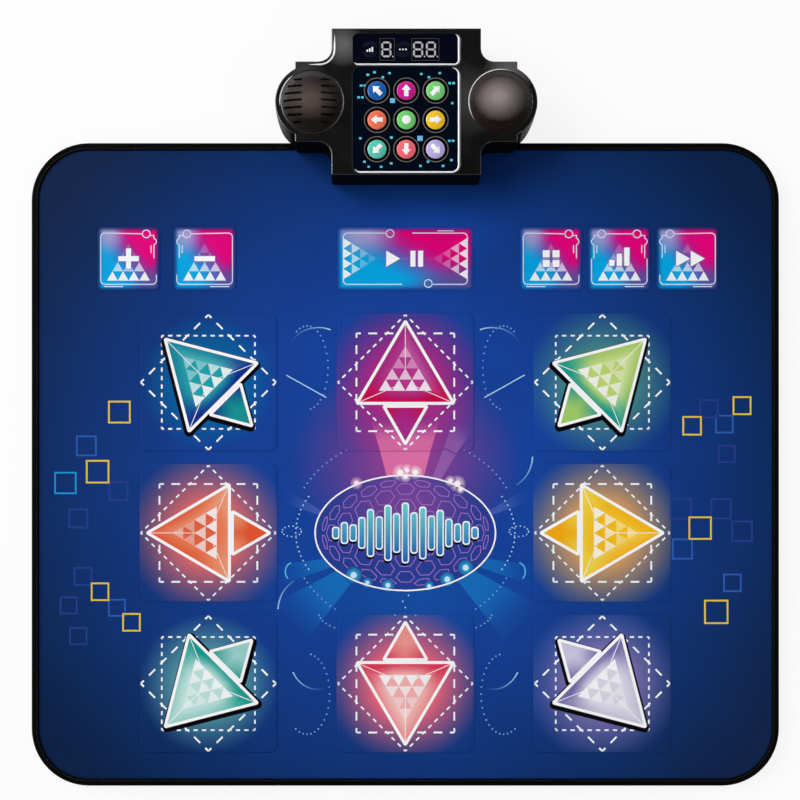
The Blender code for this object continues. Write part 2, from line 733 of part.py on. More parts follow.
def make_top_shell():
    # Drafted walls and a rounded face, hollow from below
    low = PARTING_HEIGHT + TOUCH_GAP
    edge = HOUSING_EDGE_ROUND
    rings = [
        (HOUSING_WALL + HOUSING_DRAFT, CEILING_LOW),
        (HOUSING_WALL, low),
        (0.0, low),
        (HOUSING_DRAFT, CONSOLE_HEIGHT - edge),
        (HOUSING_DRAFT + edge * ROUND_MIDDLE, CONSOLE_HEIGHT - edge * ROUND_MIDDLE),
        (HOUSING_DRAFT + edge, CONSOLE_HEIGHT),
    ]
    mesh = skin_rings("console_top_shell", [(console_outline(inset), z) for inset, z in rings])
    shell = add_piece("console_top_shell", mesh, "console black")
    for name, place in housing_screw_places().items():
        boss_radius = SCREW_RADIUS + SCREW_CLEARANCE + BOSS_WALL
        boss = rod_mesh("boss", place, boss_radius, low, CEILING_LOW + HOUSING_CEILING / 2)
        join(shell, add_cutter(name + "_top_boss", boss))
        bore_top = SCREW_TIP + CUT_OVER / 2
        bore = rod_mesh("bore", place, SCREW_RADIUS + SCREW_CLEARANCE, low - CUT_OVER, bore_top)
        cut(shell, add_cutter(name + "_top_bore", bore))
    join(shell, speaker_ring())
    cut(shell, *face_cutters())


def speaker_ring():
    # A low ring under the face that centres the loudspeaker's rim
    place = console_point(-POD_OFFSET, 0.0)
    inner = SPEAKER_RIM_RADIUS + TOUCH_GAP
    outlines = [
        circle(place, inner + SPEAKER_RING_WALL, LARGE_ROUND_SIDES),
        circle(place, inner, LARGE_ROUND_SIDES),
    ]
    mesh = plate_mesh("speaker_ring", outlines, CEILING_LOW - SPEAKER_RING_DROP, CEILING_LOW + JOIN_OVERLAP)
    return add_cutter("speaker_ring", mesh)


def face_cutters():
    top = CONSOLE_HEIGHT + CUT_OVER
    through = CEILING_LOW - CUT_OVER
    half = FACE_WIDTH / 2
    panel = rounded_rectangle(half, PANEL_DEPTH / 2, PANEL_CORNER, console_point(0, PANEL_V), -TOUCH_GAP)
    display = rounded_rectangle(
        half,
        DISPLAY_DEPTH / 2,
        DISPLAY_CORNER,
        console_point(0, DISPLAY_V),
        -TOUCH_GAP,
    )
    cutters = [
        add_cutter("panel_recess", prism_mesh("panel_recess", panel, RECESS_FLOOR, top)),
        add_cutter("display_recess", prism_mesh("display_recess", display, RECESS_FLOOR, top)),
    ]
    for name, (place, _colour) in lens_places().items():
        hole = rod_mesh("hole", place, LENS_RADIUS + TOUCH_GAP, through, top, ROUND_SIDES)
        cutters.append(add_cutter(name + "_hole", hole))
    for name, u, width in digit_modules():
        centre = console_point(u, DISPLAY_V)
        outline = rounded_rectangle(width / 2, DIGIT_DEPTH / 2, DIGIT_CORNER, centre, -SLIDE_GAP, 1)
        cutters.append(add_cutter(name + "_hole", prism_mesh("hole", outline, through, top)))
    for side, word in ((-1, "grille"), (1, "dome")):
        place = console_point(side * POD_OFFSET, 0.0)
        seat = rod_mesh("seat", place, COVER_RADIUS + TOUCH_GAP, RECESS_FLOOR, top, LARGE_ROUND_SIDES)
        cutters.append(add_cutter(word + "_seat", seat))
    sound = console_point(-POD_OFFSET, 0.0)
    sound_radius = COVER_RADIUS - COVER_SEAT_WIDTH
    hole = rod_mesh("sound_hole", sound, sound_radius, through, top, LARGE_ROUND_SIDES)
    cutters.append(add_cutter("sound_hole", hole))
    return cutters


def make_bottom_shell():
    # A tray whose underside steps up over the mat's edge. A lip inside its wall stands up into the
    # upper half and centres it
    chamfer = HOUSING_FOOT_CHAMFER
    lip_outer = HOUSING_WALL + SLIDE_GAP
    lip_inner = lip_outer + LIP_THICKNESS
    lip_root, lip_top = PARTING_HEIGHT - LIP_ROOT, PARTING_HEIGHT + LIP_RISE
    rings = [
        (chamfer, REAR_UNDERSIDE),
        (0.0, REAR_UNDERSIDE + chamfer),
        (0.0, PARTING_HEIGHT),
        (lip_outer, PARTING_HEIGHT),
        (lip_outer, lip_top),
    ]
    mesh = skin_rings("console_bottom_shell", [(console_outline(inset), z) for inset, z in rings])
    shell = add_piece("console_bottom_shell", mesh, "console black")
    step_v = MAT_EDGE_V + TOUCH_GAP
    front = -BLOCK_DEPTH
    mat_space = box_under_step("mat_space", front, step_v, FRONT_UNDERSIDE)
    hollow = [
        (HOUSING_WALL, REAR_UNDERSIDE + HOUSING_FLOOR),
        (HOUSING_WALL, lip_root),
        (lip_inner, lip_root),
        (lip_inner, lip_top + CUT_OVER),
    ]
    cavity_mesh = skin_rings("cavity", [(console_outline(inset), z) for inset, z in hollow])
    cavity = add_cutter("housing_cavity", cavity_mesh)
    cut(cavity, box_under_step("step_floor", front, step_v + HOUSING_WALL, FRONT_UNDERSIDE + HOUSING_FLOOR))
    cut(shell, mat_space, cavity)
    join(shell, switch_cradle())
    add_bottom_bosses(shell)
    add_board_posts(shell)
    add_battery_bay(shell)
    slot = prism_mesh("slot", ribbon_slot(), FRONT_UNDERSIDE - CUT_OVER, BOARD_LOW - CONNECTOR_HEIGHT)
    cut(shell, add_cutter("ribbon_slot", slot))
    foot_hole = FOOT_RADIUS + TOUCH_GAP
    for name, (place, _low, underside) in foot_places().items():
        recess_top = underside + FOOT_RECESS
        recess = rod_mesh("recess", place, foot_hole, underside - CUT_OVER, recess_top, ROUND_SIDES)
        cut(shell, add_cutter(name + "_recess", recess))
    cut(shell, switch_slot())


def switch_cradle():
    # A pocket on the floor that the switch drops into, open above
    low, high = switch_body_corners()
    wall = CRADLE_WALL + TOUCH_GAP
    floor = REAR_UNDERSIDE + HOUSING_FLOOR / 2
    outside = (
        (low[0] - wall, low[1] - wall, floor),
        (high[0] + wall, high[1] + TOUCH_GAP + JOIN_OVERLAP, SWITCH_HEIGHT),
    )
    inside = (
        (low[0] - TOUCH_GAP, low[1] - TOUCH_GAP, low[2] - TOUCH_GAP),
        (high[0] + TOUCH_GAP, high[1] + TOUCH_GAP + FACE_STEP, high[2] + CUT_OVER),
    )
    cradle = add_cutter("switch_cradle", boxes_mesh("switch_cradle", [outside]))
    cut(cradle, add_cutter("cradle_pocket", boxes_mesh("cradle_pocket", [inside])))
    return cradle


def box_under_step(name, front, back, height):
    half_width = SHOULDER_WIDTH
    low = (-half_width, CONSOLE_Y + front, -CUT_OVER)
    high = (half_width, CONSOLE_Y + back, height)
    return add_cutter(name, boxes_mesh(name, [(low, high)]))


def add_bottom_bosses(shell):
    seat_radius = SCREW_HEAD_RADIUS + SCREW_CLEARANCE
    for name, place in housing_screw_places().items():
        over_mat = place[1] < CONSOLE_Y + MAT_EDGE_V
        underside = FRONT_UNDERSIDE if over_mat else REAR_UNDERSIDE
        floor = underside + HOUSING_FLOOR / 2
        boss = rod_mesh("boss", place, seat_radius + BOSS_WALL, floor, PARTING_HEIGHT)
        join(shell, add_cutter(name + "_boss", boss))
        head = rod_mesh("head", place, seat_radius, underside - CUT_OVER, SCREW_SEAT)
        shaft = rod_mesh("shaft", place, SCREW_RADIUS + SCREW_CLEARANCE, underside, PARTING_HEIGHT + CUT_OVER)
        cut(shell, add_cutter(name + "_head_bore", head), add_cutter(name + "_shaft_bore", shaft))
    for side, place in zip(("left", "right"), mat_screw_places()):
        bore_radius = MAT_SCREW_RADIUS + SCREW_CLEARANCE
        bore_top = MAT_SCREW_TIP + TOUCH_GAP
        floor = FRONT_UNDERSIDE + HOUSING_FLOOR / 2
        boss = rod_mesh("boss", place, bore_radius + BOSS_WALL, floor, bore_top + MAT_BOSS_CAP)
        join(shell, add_cutter("mat_screw_boss_" + side, boss))
        bore = rod_mesh("bore", place, bore_radius, FRONT_UNDERSIDE - CUT_OVER, bore_top)
        cut(shell, add_cutter("mat_screw_bore_" + side, bore))


def add_board_posts(shell):
    for index, place in enumerate(post_places()):
        over_mat = place[1] < CONSOLE_Y + MAT_EDGE_V
        floor = (FRONT_UNDERSIDE if over_mat else REAR_UNDERSIDE) + HOUSING_FLOOR / 2
        post = rod_mesh("post", place, POST_RADIUS, floor, BOARD_LOW - TOUCH_GAP)
        pin = rod_mesh("pin", place, PIN_RADIUS, floor, BOARD_TOP + PIN_RISE)
        join(shell, add_cutter(f"board_post_{index}", post), add_cutter(f"board_pin_{index}", pin))


def add_battery_bay(shell):
    # A box over the cells, open below, with a grooved rail down each side for the door
    outer_u = BAY_HALF_WIDTH + BAY_WALL
    outer_v = BAY_HALF_DEPTH + BAY_WALL
    rail_u = BAY_HALF_WIDTH + RAIL_WIDTH + BAY_WALL
    groove_low = REAR_UNDERSIDE + RAIL_LEDGE
    groove_top = DOOR_TOP + TOUCH_GAP
    centre_y = CONSOLE_Y + BAY_V
    floor = REAR_UNDERSIDE + HOUSING_FLOOR / 2
    back_y = CONSOLE_Y + REAR_WALL_V + JOIN_OVERLAP
    walls = ((-outer_u, centre_y - outer_v, floor), (outer_u, centre_y + outer_v, BAY_ROOF_TOP))
    rails = ((-rail_u, centre_y - outer_v, floor), (rail_u, back_y, groove_top + RAIL_ROOF))
    join(shell, add_cutter("bay_walls", boxes_mesh("bay_walls", [walls])))
    join(shell, add_cutter("bay_rails", boxes_mesh("bay_rails", [rails])))
    out_y = CONSOLE_Y + BLOCK_DEPTH
    front_y = centre_y - BAY_HALF_DEPTH
    cells = (
        (-BAY_HALF_WIDTH, front_y, -CUT_OVER),
        (BAY_HALF_WIDTH, centre_y + BAY_HALF_DEPTH, BAY_ROOF_LOW),
    )
    doorway = ((-BAY_HALF_WIDTH, front_y, -CUT_OVER), (BAY_HALF_WIDTH, out_y, groove_top))
    groove_u = BAY_HALF_WIDTH + RAIL_WIDTH
    groove = ((-groove_u, front_y, groove_low), (groove_u, out_y, groove_top))
    tab_u = DOOR_TAB_WIDTH / 2 + SLIDE_GAP
    tab_top = REAR_UNDERSIDE + DOOR_TAB_HEIGHT + SLIDE_GAP
    tab_y = CONSOLE_Y + REAR_WALL_V - TOUCH_GAP
    notch = ((-tab_u, tab_y, -CUT_OVER), (tab_u, out_y, tab_top))
    hollows = {"bay_cells": cells, "doorway": doorway, "door_groove": groove, "tab_notch": notch}
    for name, box in hollows.items():
        cut(shell, add_cutter(name, boxes_mesh(name, [box])))


def make_battery_door():
    # A plate with a flange in each rail, and a ribbed tab that stands in the rear wall
    front_y = CONSOLE_Y + BAY_V - BAY_HALF_DEPTH + SLIDE_GAP
    back_y = CONSOLE_Y + BLOCK_DEPTH / 2 - HOUSING_FOOT_CHAMFER
    plate_u = BAY_HALF_WIDTH - SLIDE_GAP
    flange_u = BAY_HALF_WIDTH + DOOR_FLANGE_WIDTH
    flange_low = REAR_UNDERSIDE + RAIL_LEDGE + TOUCH_GAP
    plate = ((-plate_u, front_y, REAR_UNDERSIDE), (plate_u, back_y, DOOR_TOP))
    door = add_piece("battery_door", boxes_mesh("battery_door", [plate]), "console black")
    flange = ((-flange_u, front_y, flange_low), (flange_u, CONSOLE_Y + REAR_WALL_V, DOOR_TOP - FACE_STEP))
    tab_u = DOOR_TAB_WIDTH / 2
    tab_low = REAR_UNDERSIDE + HOUSING_FLOOR / 2
    tab = (
        (-tab_u, CONSOLE_Y + REAR_WALL_V, tab_low),
        (tab_u, CONSOLE_Y + BLOCK_DEPTH / 2, REAR_UNDERSIDE + DOOR_TAB_HEIGHT),
    )
    join(door, add_cutter("door_flange", boxes_mesh("door_flange", [flange])))
    join(door, add_cutter("door_tab", boxes_mesh("door_tab", [tab])))
    grips = []
    for index in range(DOOR_RIB_COUNT):
        x = (index - (DOOR_RIB_COUNT - 1) / 2) * DOOR_RIB_PITCH
        low = (x - DOOR_RIB_WIDTH / 2, CONSOLE_Y + BLOCK_DEPTH / 2 - DOOR_RIB_DEPTH, DOOR_TOP)
        high = (x + DOOR_RIB_WIDTH / 2, CONSOLE_Y + BLOCK_DEPTH / 2 + CUT_OVER, CONSOLE_HEIGHT)
        grips.append((low, high))
    cut(door, add_cutter("door_grips", boxes_mesh("door_grips", grips)))


def make_batteries():
    # Cells in series, side by side, each turned the other way round from the last
    half = BATTERY_LENGTH / 2
    body_top = half - BATTERY_NUB_LENGTH
    edge = BATTERY_SPACE
    profile = [
        (0.0, half),
        (BATTERY_NUB_RADIUS, half),
        (BATTERY_NUB_RADIUS, body_top),
        (BATTERY_RADIUS - edge, body_top),
        (BATTERY_RADIUS, body_top - edge),
        (BATTERY_RADIUS, -half + edge),
        (BATTERY_RADIUS - edge, -half),
        (0.0, -half),
    ]
    for index in range(BATTERY_COUNT):
        v = BAY_V + (index - (BATTERY_COUNT - 1) / 2) * BATTERY_PITCH
        name = f"battery_{index + 1}"
        place = (*console_point(0.0, v), BATTERY_AXIS)
        cell = add_piece(name, turned_mesh(name, profile), "battery", place)
        cell.rotation_euler.y = math.pi / 2 if index % 2 else -math.pi / 2
        smooth_turned(turn(cell, SMALL_ROUND_SIDES))


def make_battery_contacts():
    plate_low = DOOR_TOP + 2 * TOUCH_GAP
    plate_top = BAY_ROOF_LOW - TOUCH_GAP
    half_depth = BAY_HALF_DEPTH - TOUCH_GAP
    for side, word in ((-1, "left"), (1, "right")):
        outer = side * (BAY_HALF_WIDTH - TOUCH_GAP)
        inner = side * (BAY_HALF_WIDTH - TOUCH_GAP - CONTACT_PLATE)
        low = (min(outer, inner), CONSOLE_Y + BAY_V - half_depth, plate_low)
        high = (max(outer, inner), CONSOLE_Y + BAY_V + half_depth, plate_top)
        name = "battery_contact_" + word
        contact = add_piece(name, boxes_mesh(name, [(low, high)]), "steel")
        for index in range(BATTERY_COUNT):
            y = CONSOLE_Y + BAY_V + (index - (BATTERY_COUNT - 1) / 2) * BATTERY_PITCH
            bump = contact_bump(f"{name}_bump_{index + 1}", (low[0] + high[0]) / 2, y, side)
            join(contact, bump)


def contact_bump(name, x, y, side):
    # A coned spring, modelled as the cone that it winds round, starting inside the plate
    height = CONTACT_BUMP_HEIGHT + CONTACT_PLATE / 2
    radii = (CONTACT_BUMP_RADIUS, CONTACT_TIP_RADIUS)
    mesh = cone_mesh(name, (0.0, 0.0), *radii, 0.0, height, SMALL_ROUND_SIDES)
    bump = add_cutter(name, mesh, (x, y, BATTERY_AXIS))
    bump.rotation_euler.y = -side * math.pi / 2
    return bump


def make_board():
    centre = console_point(0.0, BOARD_OFFSET_V)
    outline = rounded_rectangle(BOARD_WIDTH / 2, BOARD_DEPTH / 2, BOARD_CORNER, centre)
    holes = [circle(place, PIN_RADIUS + TOUCH_GAP, SMALL_ROUND_SIDES) for place in post_places()]
    mesh = plate_mesh("main_board", [outline, *holes], BOARD_LOW, BOARD_TOP)
    add_piece("main_board", mesh, "board green")
    x, y = console_point(0.0, RIBBON_V)
    top = BOARD_LOW - TOUCH_GAP
    half_width, half_depth = CONNECTOR_WIDTH / 2, CONNECTOR_DEPTH / 2
    body = ((x - half_width, y - half_depth, top - CONNECTOR_HEIGHT), (x + half_width, y + half_depth, top))
    connector = add_piece("ribbon_connector", boxes_mesh("ribbon_connector", [body]), "connector white")
    socket_top = top - CONNECTOR_HEIGHT + CONNECTOR_SOCKET
    socket = prism_mesh("socket", ribbon_slot(), top - CONNECTOR_HEIGHT - CUT_OVER, socket_top)
    cut(connector, add_cutter("connector_socket", socket))
    tail_low, tail_high = FILM_TOP + TOUCH_GAP, socket_top - TOUCH_GAP
    low = (x - RIBBON_WIDTH / 2, y - RIBBON_THICKNESS / 2, tail_low)
    high = (x + RIBBON_WIDTH / 2, y + RIBBON_THICKNESS / 2, tail_high)
    add_piece("ribbon_tail", boxes_mesh("ribbon_tail", [(low, high)]), "clear film")


def make_digit_modules():
    for name, u, width in digit_modules():
        centre = console_point(u, DISPLAY_V)
        outline = rounded_rectangle(width / 2, DIGIT_DEPTH / 2, DIGIT_CORNER, centre, 0.0, 1)
        mesh = prism_mesh(name, outline, BOARD_TOP + TOUCH_GAP, WINDOW_LOW - TOUCH_GAP)
        add_piece(name, mesh, "display grey")


def make_face_plates():
    half = FACE_WIDTH / 2
    top = WINDOW_LOW + WINDOW_THICKNESS
    display = rounded_rectangle(half, DISPLAY_DEPTH / 2, DISPLAY_CORNER, console_point(0, DISPLAY_V))
    window = prism_mesh("display_window", display, WINDOW_LOW, top)
    add_piece("display_window", window, "dark window")
    panel = rounded_rectangle(half, PANEL_DEPTH / 2, PANEL_CORNER, console_point(0, PANEL_V))
    holes = []
    for place, _colour in lens_places().values():
        holes.append(circle(place, LENS_RADIUS + TOUCH_GAP))
    mesh = plate_mesh("indicator_panel", [panel, *holes], WINDOW_LOW, top)
    add_piece("indicator_panel", mesh, "dark window")


def make_lenses():
    # A crowned disc in the panel, a flange under the housing's face and a guide down to the board
    flange_top = CEILING_LOW - TOUCH_GAP
    flange_low = flange_top - LENS_FLANGE_THICKNESS
    flange_radius = LENS_RADIUS + LENS_FLANGE_WIDTH
    profile = dome_points(LENS_RADIUS, LENS_RISE, CONSOLE_HEIGHT - TOUCH_GAP, LENS_CROWN_STEPS)
    profile += [
        (LENS_RADIUS, flange_top),
        (flange_radius, flange_top),
        (flange_radius, flange_low),
        (LENS_RADIUS - LIGHT_GUIDE_TAPER, BOARD_TOP + TOUCH_GAP),
        (0.0, BOARD_TOP + TOUCH_GAP),
    ]
    for name, (place, colour) in lens_places().items():
        lens = add_piece(name, turned_mesh(name, profile), colour, (*place, 0.0))
        smooth_turned(turn(lens, ROUND_SIDES))


def pod_cover_profile(rise):
    # A crowned shell with a flat rim that seats in the pod's recess
    outer = dome_points(COVER_RADIUS - COVER_SHELL / 2, rise, CONSOLE_HEIGHT, COVER_CROWN_STEPS)
    inner_radius = COVER_RADIUS - COVER_SHELL
    inner_rise = rise + CONSOLE_HEIGHT - COVER_SHELL - WINDOW_LOW
    inner = dome_points(inner_radius, inner_rise, WINDOW_LOW, COVER_INSIDE_STEPS)
    rim = [(COVER_RADIUS, CONSOLE_HEIGHT - COVER_EDGE_DROP), (COVER_RADIUS, WINDOW_LOW)]
    return outer + rim + inner[::-1]


def make_pod_covers():
    place = (*console_point(POD_OFFSET, 0.0), 0.0)
    mesh = turned_mesh("dome_cap", pod_cover_profile(DOME_RISE))
    smooth_turned(turn(add_piece("dome_cap", mesh, "gloss black", place), LARGE_ROUND_SIDES))
    place = (*console_point(-POD_OFFSET, 0.0), 0.0)
    mesh = turned_mesh("speaker_grille", pod_cover_profile(GRILLE_RISE))
    grille = smooth_turned(turn(add_piece("speaker_grille", mesh, "gloss black", place), LARGE_ROUND_SIDES))
    cut(grille, grille_slots())


def grille_slots():
    # Two columns of level slots leave a plain band down the middle
    reach = COVER_RADIUS - GRILLE_SLOT_MARGIN
    x, y = console_point(-POD_OFFSET, 0.0)
    slots = []
    for row in range(GRILLE_ROWS):
        v = (row - (GRILLE_ROWS - 1) / 2) * GRILLE_ROW_PITCH
        chord = math.sqrt(reach * reach - v * v)
        for side in (-1, 1):
            ends = sorted((side * GRILLE_BAND_HALF, side * chord))
            low = (x + ends[0], y + v - GRILLE_SLOT_HEIGHT / 2, CEILING_LOW)
            high = (x + ends[1], y + v + GRILLE_SLOT_HEIGHT / 2, CONSOLE_HEIGHT + 2 * GRILLE_RISE)
            slots.append((low, high))
    return add_cutter("grille_slots", boxes_mesh("grille_slots", slots))


def make_speaker():
    top = CEILING_LOW - TOUCH_GAP
    rim_low = top - SPEAKER_RIM_THICKNESS
    basket_low = rim_low - SPEAKER_BASKET_DEPTH
    magnet_low = basket_low - MAGNET_DEPTH
    cone_edge = COVER_RADIUS - COVER_SEAT_WIDTH
    profile = [
        (0.0, top - SPEAKER_CONE_DEPTH + SPEAKER_RIM_THICKNESS),
        (DUST_CAP_RADIUS, top - SPEAKER_CONE_DEPTH),
        (cone_edge - SPEAKER_RIM_THICKNESS, top - SPEAKER_RIM_THICKNESS),
        (cone_edge, top),
        (SPEAKER_RIM_RADIUS, top),
        (SPEAKER_RIM_RADIUS, rim_low),
        (cone_edge, rim_low),
        (MAGNET_RADIUS + SPEAKER_RIM_THICKNESS, basket_low),
        (MAGNET_RADIUS, basket_low),
        (MAGNET_RADIUS, magnet_low),
        (0.0, magnet_low),
    ]
    place = (*console_point(-POD_OFFSET, 0.0), 0.0)
    driver = add_piece("speaker_driver", turned_mesh("speaker_driver", profile), "steel", place)
    smooth_turned(turn(driver, ROUND_SIDES))


def knob_track():
    # Half the length that the knob's stem needs, and the middle of its run
    return (KNOB_WIDTH + SWITCH_TRAVEL) / 2 + SLIDE_GAP, SWITCH_U + SWITCH_TRAVEL / 2


def switch_slot():
    half, middle = knob_track()
    half_height = KNOB_HEIGHT / 2 + SLIDE_GAP
    low = (middle - half, CONSOLE_Y + SHOULDER_WALL_V - TOUCH_GAP, SWITCH_HEIGHT - half_height)
    high = (middle + half, CONSOLE_Y + SHOULDER_DEPTH / 2 + CUT_OVER, SWITCH_HEIGHT + half_height)
    return add_cutter("switch_slot", boxes_mesh("switch_slot", [(low, high)]))


def switch_body_corners():
    _half, middle = knob_track()
    face_y = CONSOLE_Y + SHOULDER_WALL_V - TOUCH_GAP
    half_height = SWITCH_BODY_HEIGHT / 2
    low = (middle - SWITCH_BODY_WIDTH / 2, face_y - SWITCH_BODY_DEPTH, SWITCH_HEIGHT - half_height)
    high = (middle + SWITCH_BODY_WIDTH / 2, face_y, SWITCH_HEIGHT + half_height)
    return low, high


def make_power_switch():
    half, middle = knob_track()
    low, high = switch_body_corners()
    face_y = high[1]
    body = add_piece("power_switch_body", boxes_mesh("power_switch_body", [(low, high)]), "connector white")
    track_height = KNOB_HEIGHT / 2 + SLIDE_GAP
    track_low = (middle - half, face_y - SWITCH_TRACK_DEPTH, SWITCH_HEIGHT - track_height)
    track_high = (middle + half, face_y + CUT_OVER, SWITCH_HEIGHT + track_height)
    cut(body, add_cutter("switch_track", boxes_mesh("switch_track", [(track_low, track_high)])))
    stem_low = face_y - SWITCH_TRACK_DEPTH + TOUCH_GAP
    proud = CONSOLE_Y + SHOULDER_DEPTH / 2 + KNOB_PROUD
    size = (KNOB_WIDTH, proud - stem_low, KNOB_HEIGHT)
    mesh = box_mesh("power_switch_knob", size, (0.0, 0.0, 0.0))
    place = (SWITCH_U, (proud + stem_low) / 2, SWITCH_HEIGHT)
    knob = add_piece("power_switch_knob", mesh, "connector white", place)
    bevel = knob.modifiers.new("edges", "BEVEL")
    bevel.width = KNOB_EDGE_ROUND
    bevel.segments = CORNER_STEPS


def screw_mesh(name, head_radius, head_height, shaft_radius, head_low, tip):
    edge = head_height * HEAD_EDGE_SHARE
    profile = [
        (0.0, tip),
        (shaft_radius * SHAFT_TIP_SHARE, tip),
        (shaft_radius, tip - shaft_radius),
        (shaft_radius, head_low + head_height),
        (head_radius, head_low + head_height),
        (head_radius, head_low + edge),
        (head_radius - edge, head_low),
        (0.0, head_low),
    ]
    return turned_mesh(name, profile)


def make_screws():
    head_low = SCREW_SEAT - TOUCH_GAP - SCREW_HEAD_HEIGHT
    for name, place in housing_screw_places().items():
        mesh = screw_mesh(name, SCREW_HEAD_RADIUS, SCREW_HEAD_HEIGHT, SCREW_RADIUS, head_low, SCREW_TIP)
        smooth_turned(turn(add_piece(name, mesh, "steel", (*place, 0.0)), SMALL_ROUND_SIDES))
    head_low = BASE_THICKNESS - MAT_SCREW_HEAD_HEIGHT
    for side, place in zip(("left", "right"), mat_screw_places()):
        name = "mat_screw_" + side
        mesh = screw_mesh(
            name,
            MAT_SCREW_HEAD_RADIUS,
            MAT_SCREW_HEAD_HEIGHT,
            MAT_SCREW_RADIUS,
            head_low,
            MAT_SCREW_TIP,
        )
        smooth_turned(turn(add_piece(name, mesh, "steel", (*place, 0.0)), SMALL_ROUND_SIDES))


def make_feet():
    for name, (place, low, underside) in foot_places().items():
        top = underside + FOOT_RECESS - TOUCH_GAP
        profile = [
            (0.0, top),
            (FOOT_RADIUS, top),
            (FOOT_RADIUS, low + FOOT_EDGE),
            (FOOT_RADIUS - FOOT_EDGE, low),
            (0.0, low),
        ]
        foot = add_piece(name, turned_mesh(name, profile), "rubber", (*place, 0.0))
        smooth_turned(turn(foot, ROUND_SIDES))


def build():
    make_mat_layers()
    make_edge_binding()
    make_pads()
    make_top_shell()
    make_bottom_shell()
    make_battery_door()
    make_batteries()
    make_battery_contacts()
    make_board()
    make_digit_modules()
    make_face_plates()
    make_lenses()
    make_pod_covers()
    make_speaker()
    make_power_switch()
    make_screws()
    make_feet()


clear_scene()
PARTS = new_collection("electronic_dance_mat")
CUTTERS = new_collection("cutters")
build()
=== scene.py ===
# Looks of the electronic dance mat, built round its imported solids. Metres, in the frame of the CAD.
import math

import bmesh
import bpy
import numpy as np
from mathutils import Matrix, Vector


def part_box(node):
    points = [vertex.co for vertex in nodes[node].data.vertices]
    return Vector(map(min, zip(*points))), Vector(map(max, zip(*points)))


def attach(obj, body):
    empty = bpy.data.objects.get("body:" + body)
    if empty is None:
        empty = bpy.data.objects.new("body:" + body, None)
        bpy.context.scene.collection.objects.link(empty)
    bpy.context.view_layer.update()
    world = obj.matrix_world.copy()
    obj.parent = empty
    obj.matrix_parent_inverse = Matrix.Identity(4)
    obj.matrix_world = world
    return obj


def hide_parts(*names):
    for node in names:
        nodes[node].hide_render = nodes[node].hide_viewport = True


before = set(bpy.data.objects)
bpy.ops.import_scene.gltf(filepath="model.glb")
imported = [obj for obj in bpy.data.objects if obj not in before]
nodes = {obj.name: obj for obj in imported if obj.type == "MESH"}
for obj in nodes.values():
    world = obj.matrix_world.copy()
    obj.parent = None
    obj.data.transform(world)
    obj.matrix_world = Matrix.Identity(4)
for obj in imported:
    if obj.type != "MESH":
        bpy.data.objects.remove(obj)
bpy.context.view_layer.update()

ROOT = "mat_and_console"

# Places taken from the frame
mat_low, mat_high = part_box("edge_binding")
cover_low, cover_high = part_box("top_cover")
console_low, console_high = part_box("console_top_shell")
MAT_Y = (mat_low.y + mat_high.y) / 2
MAT_HALF_X = (mat_high.x - mat_low.x) / 2
MAT_HALF_Y = (mat_high.y - mat_low.y) / 2
FACE = cover_high.z
CONSOLE_Y = (console_low.y + console_high.y) / 2
FIELD_Y = sum(corner.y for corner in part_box("step_pad_left")) / 2

# Sizes of the mat's cloth and tape
MAT_CORNER = 0.072
COVER_INSET = 0.0013
COVER_STEP = 0.006
PAD_GAP = 0.0004
STEP_CORNER = 0.009
FUNCTION_CORNER = 0.007
PAD_THICKNESS = 0.003
PAD_EDGE = 0.0003
PAD_FIT = 0.0002
PUCK_MARGIN = 0.020
BINDING_WIDTH = 0.0102
TAPE = 0.0007

# A pad's face: how far it stands proud, how far it falls at its edge and over what reach
PAD_PROUD = 0.0001
PAD_FALL, PAD_FALL_REACH = 0.0002, 0.004

# The rings of a pad's face: their step, where it doubles, and what they leave in the middle
PAD_STEP, PAD_FINE_REACH, PAD_MIDDLE = 0.0014, 0.012, 0.0004

# A pixel of the photograph on the mat's face, and the corners of a box in turn
PIXEL = 0.0012433
QUARTERS = ((1, 1), (-1, 1), (-1, -1), (1, -1))

# Inks stand proud of the face by this much for each layer, and are rooted this far below it
INK = 0.00003
ROOT_DEPTH = 0.00025

WHITE = (250, 250, 252)
BLACK = (6, 6, 10)


def linear(colours):
    # Display values from 0 to 255 as linear light
    values = np.clip(np.asarray(colours, float) / 255, 0, 1)
    return np.where(values <= 0.04045, values / 12.92, ((values + 0.055) / 1.055) ** 2.4)


def mixed(a, b, share):
    return tuple(p + (q - p) * share for p, q in zip(a, b))


def smooth(t):
    t = np.clip(t, 0, 1)
    return t * t * (3 - 2 * t)


def blended(colours, tint, mask):
    return colours + (np.asarray(tint, float) - colours) * np.clip(mask, 0, 1)[..., None]


# Node materials


class Tree:
    """A node tree, and short ways to add to it."""

    def __init__(self, tree):
        self.nodes, self.links = tree.nodes, tree.links

    def node(self, kind, inputs=None, output=0, **settings):
        # A new node with its settings, and with a value or another node's output for each input given
        node = self.nodes.new(kind)
        for key, value in settings.items():
            setattr(node, key, value)
        for key, value in (inputs or {}).items():
            if isinstance(value, bpy.types.NodeSocket):
                self.links.new(value, node.inputs[key])
            else:
                node.inputs[key].default_value = value
        return node.outputs[output]

    def spread(self, value, low, high, first=0.0, last=1.0, **settings):
        inputs = {"Value": value, "From Min": low, "From Max": high, "To Min": first, "To Max": last}
        return self.node("ShaderNodeMapRange", inputs, **settings)

    def math(self, operation, a, b=0.0):
        return self.node("ShaderNodeMath", {0: a, 1: b}, operation=operation)

    def vector(self, operation, a, b=(0, 0, 0), output=0):
        return self.node("ShaderNodeVectorMath", {0: a, 1: b}, output, operation=operation)

    def part(self, vector, axis):
        return self.node("ShaderNodeSeparateXYZ", {"Vector": vector}, axis)


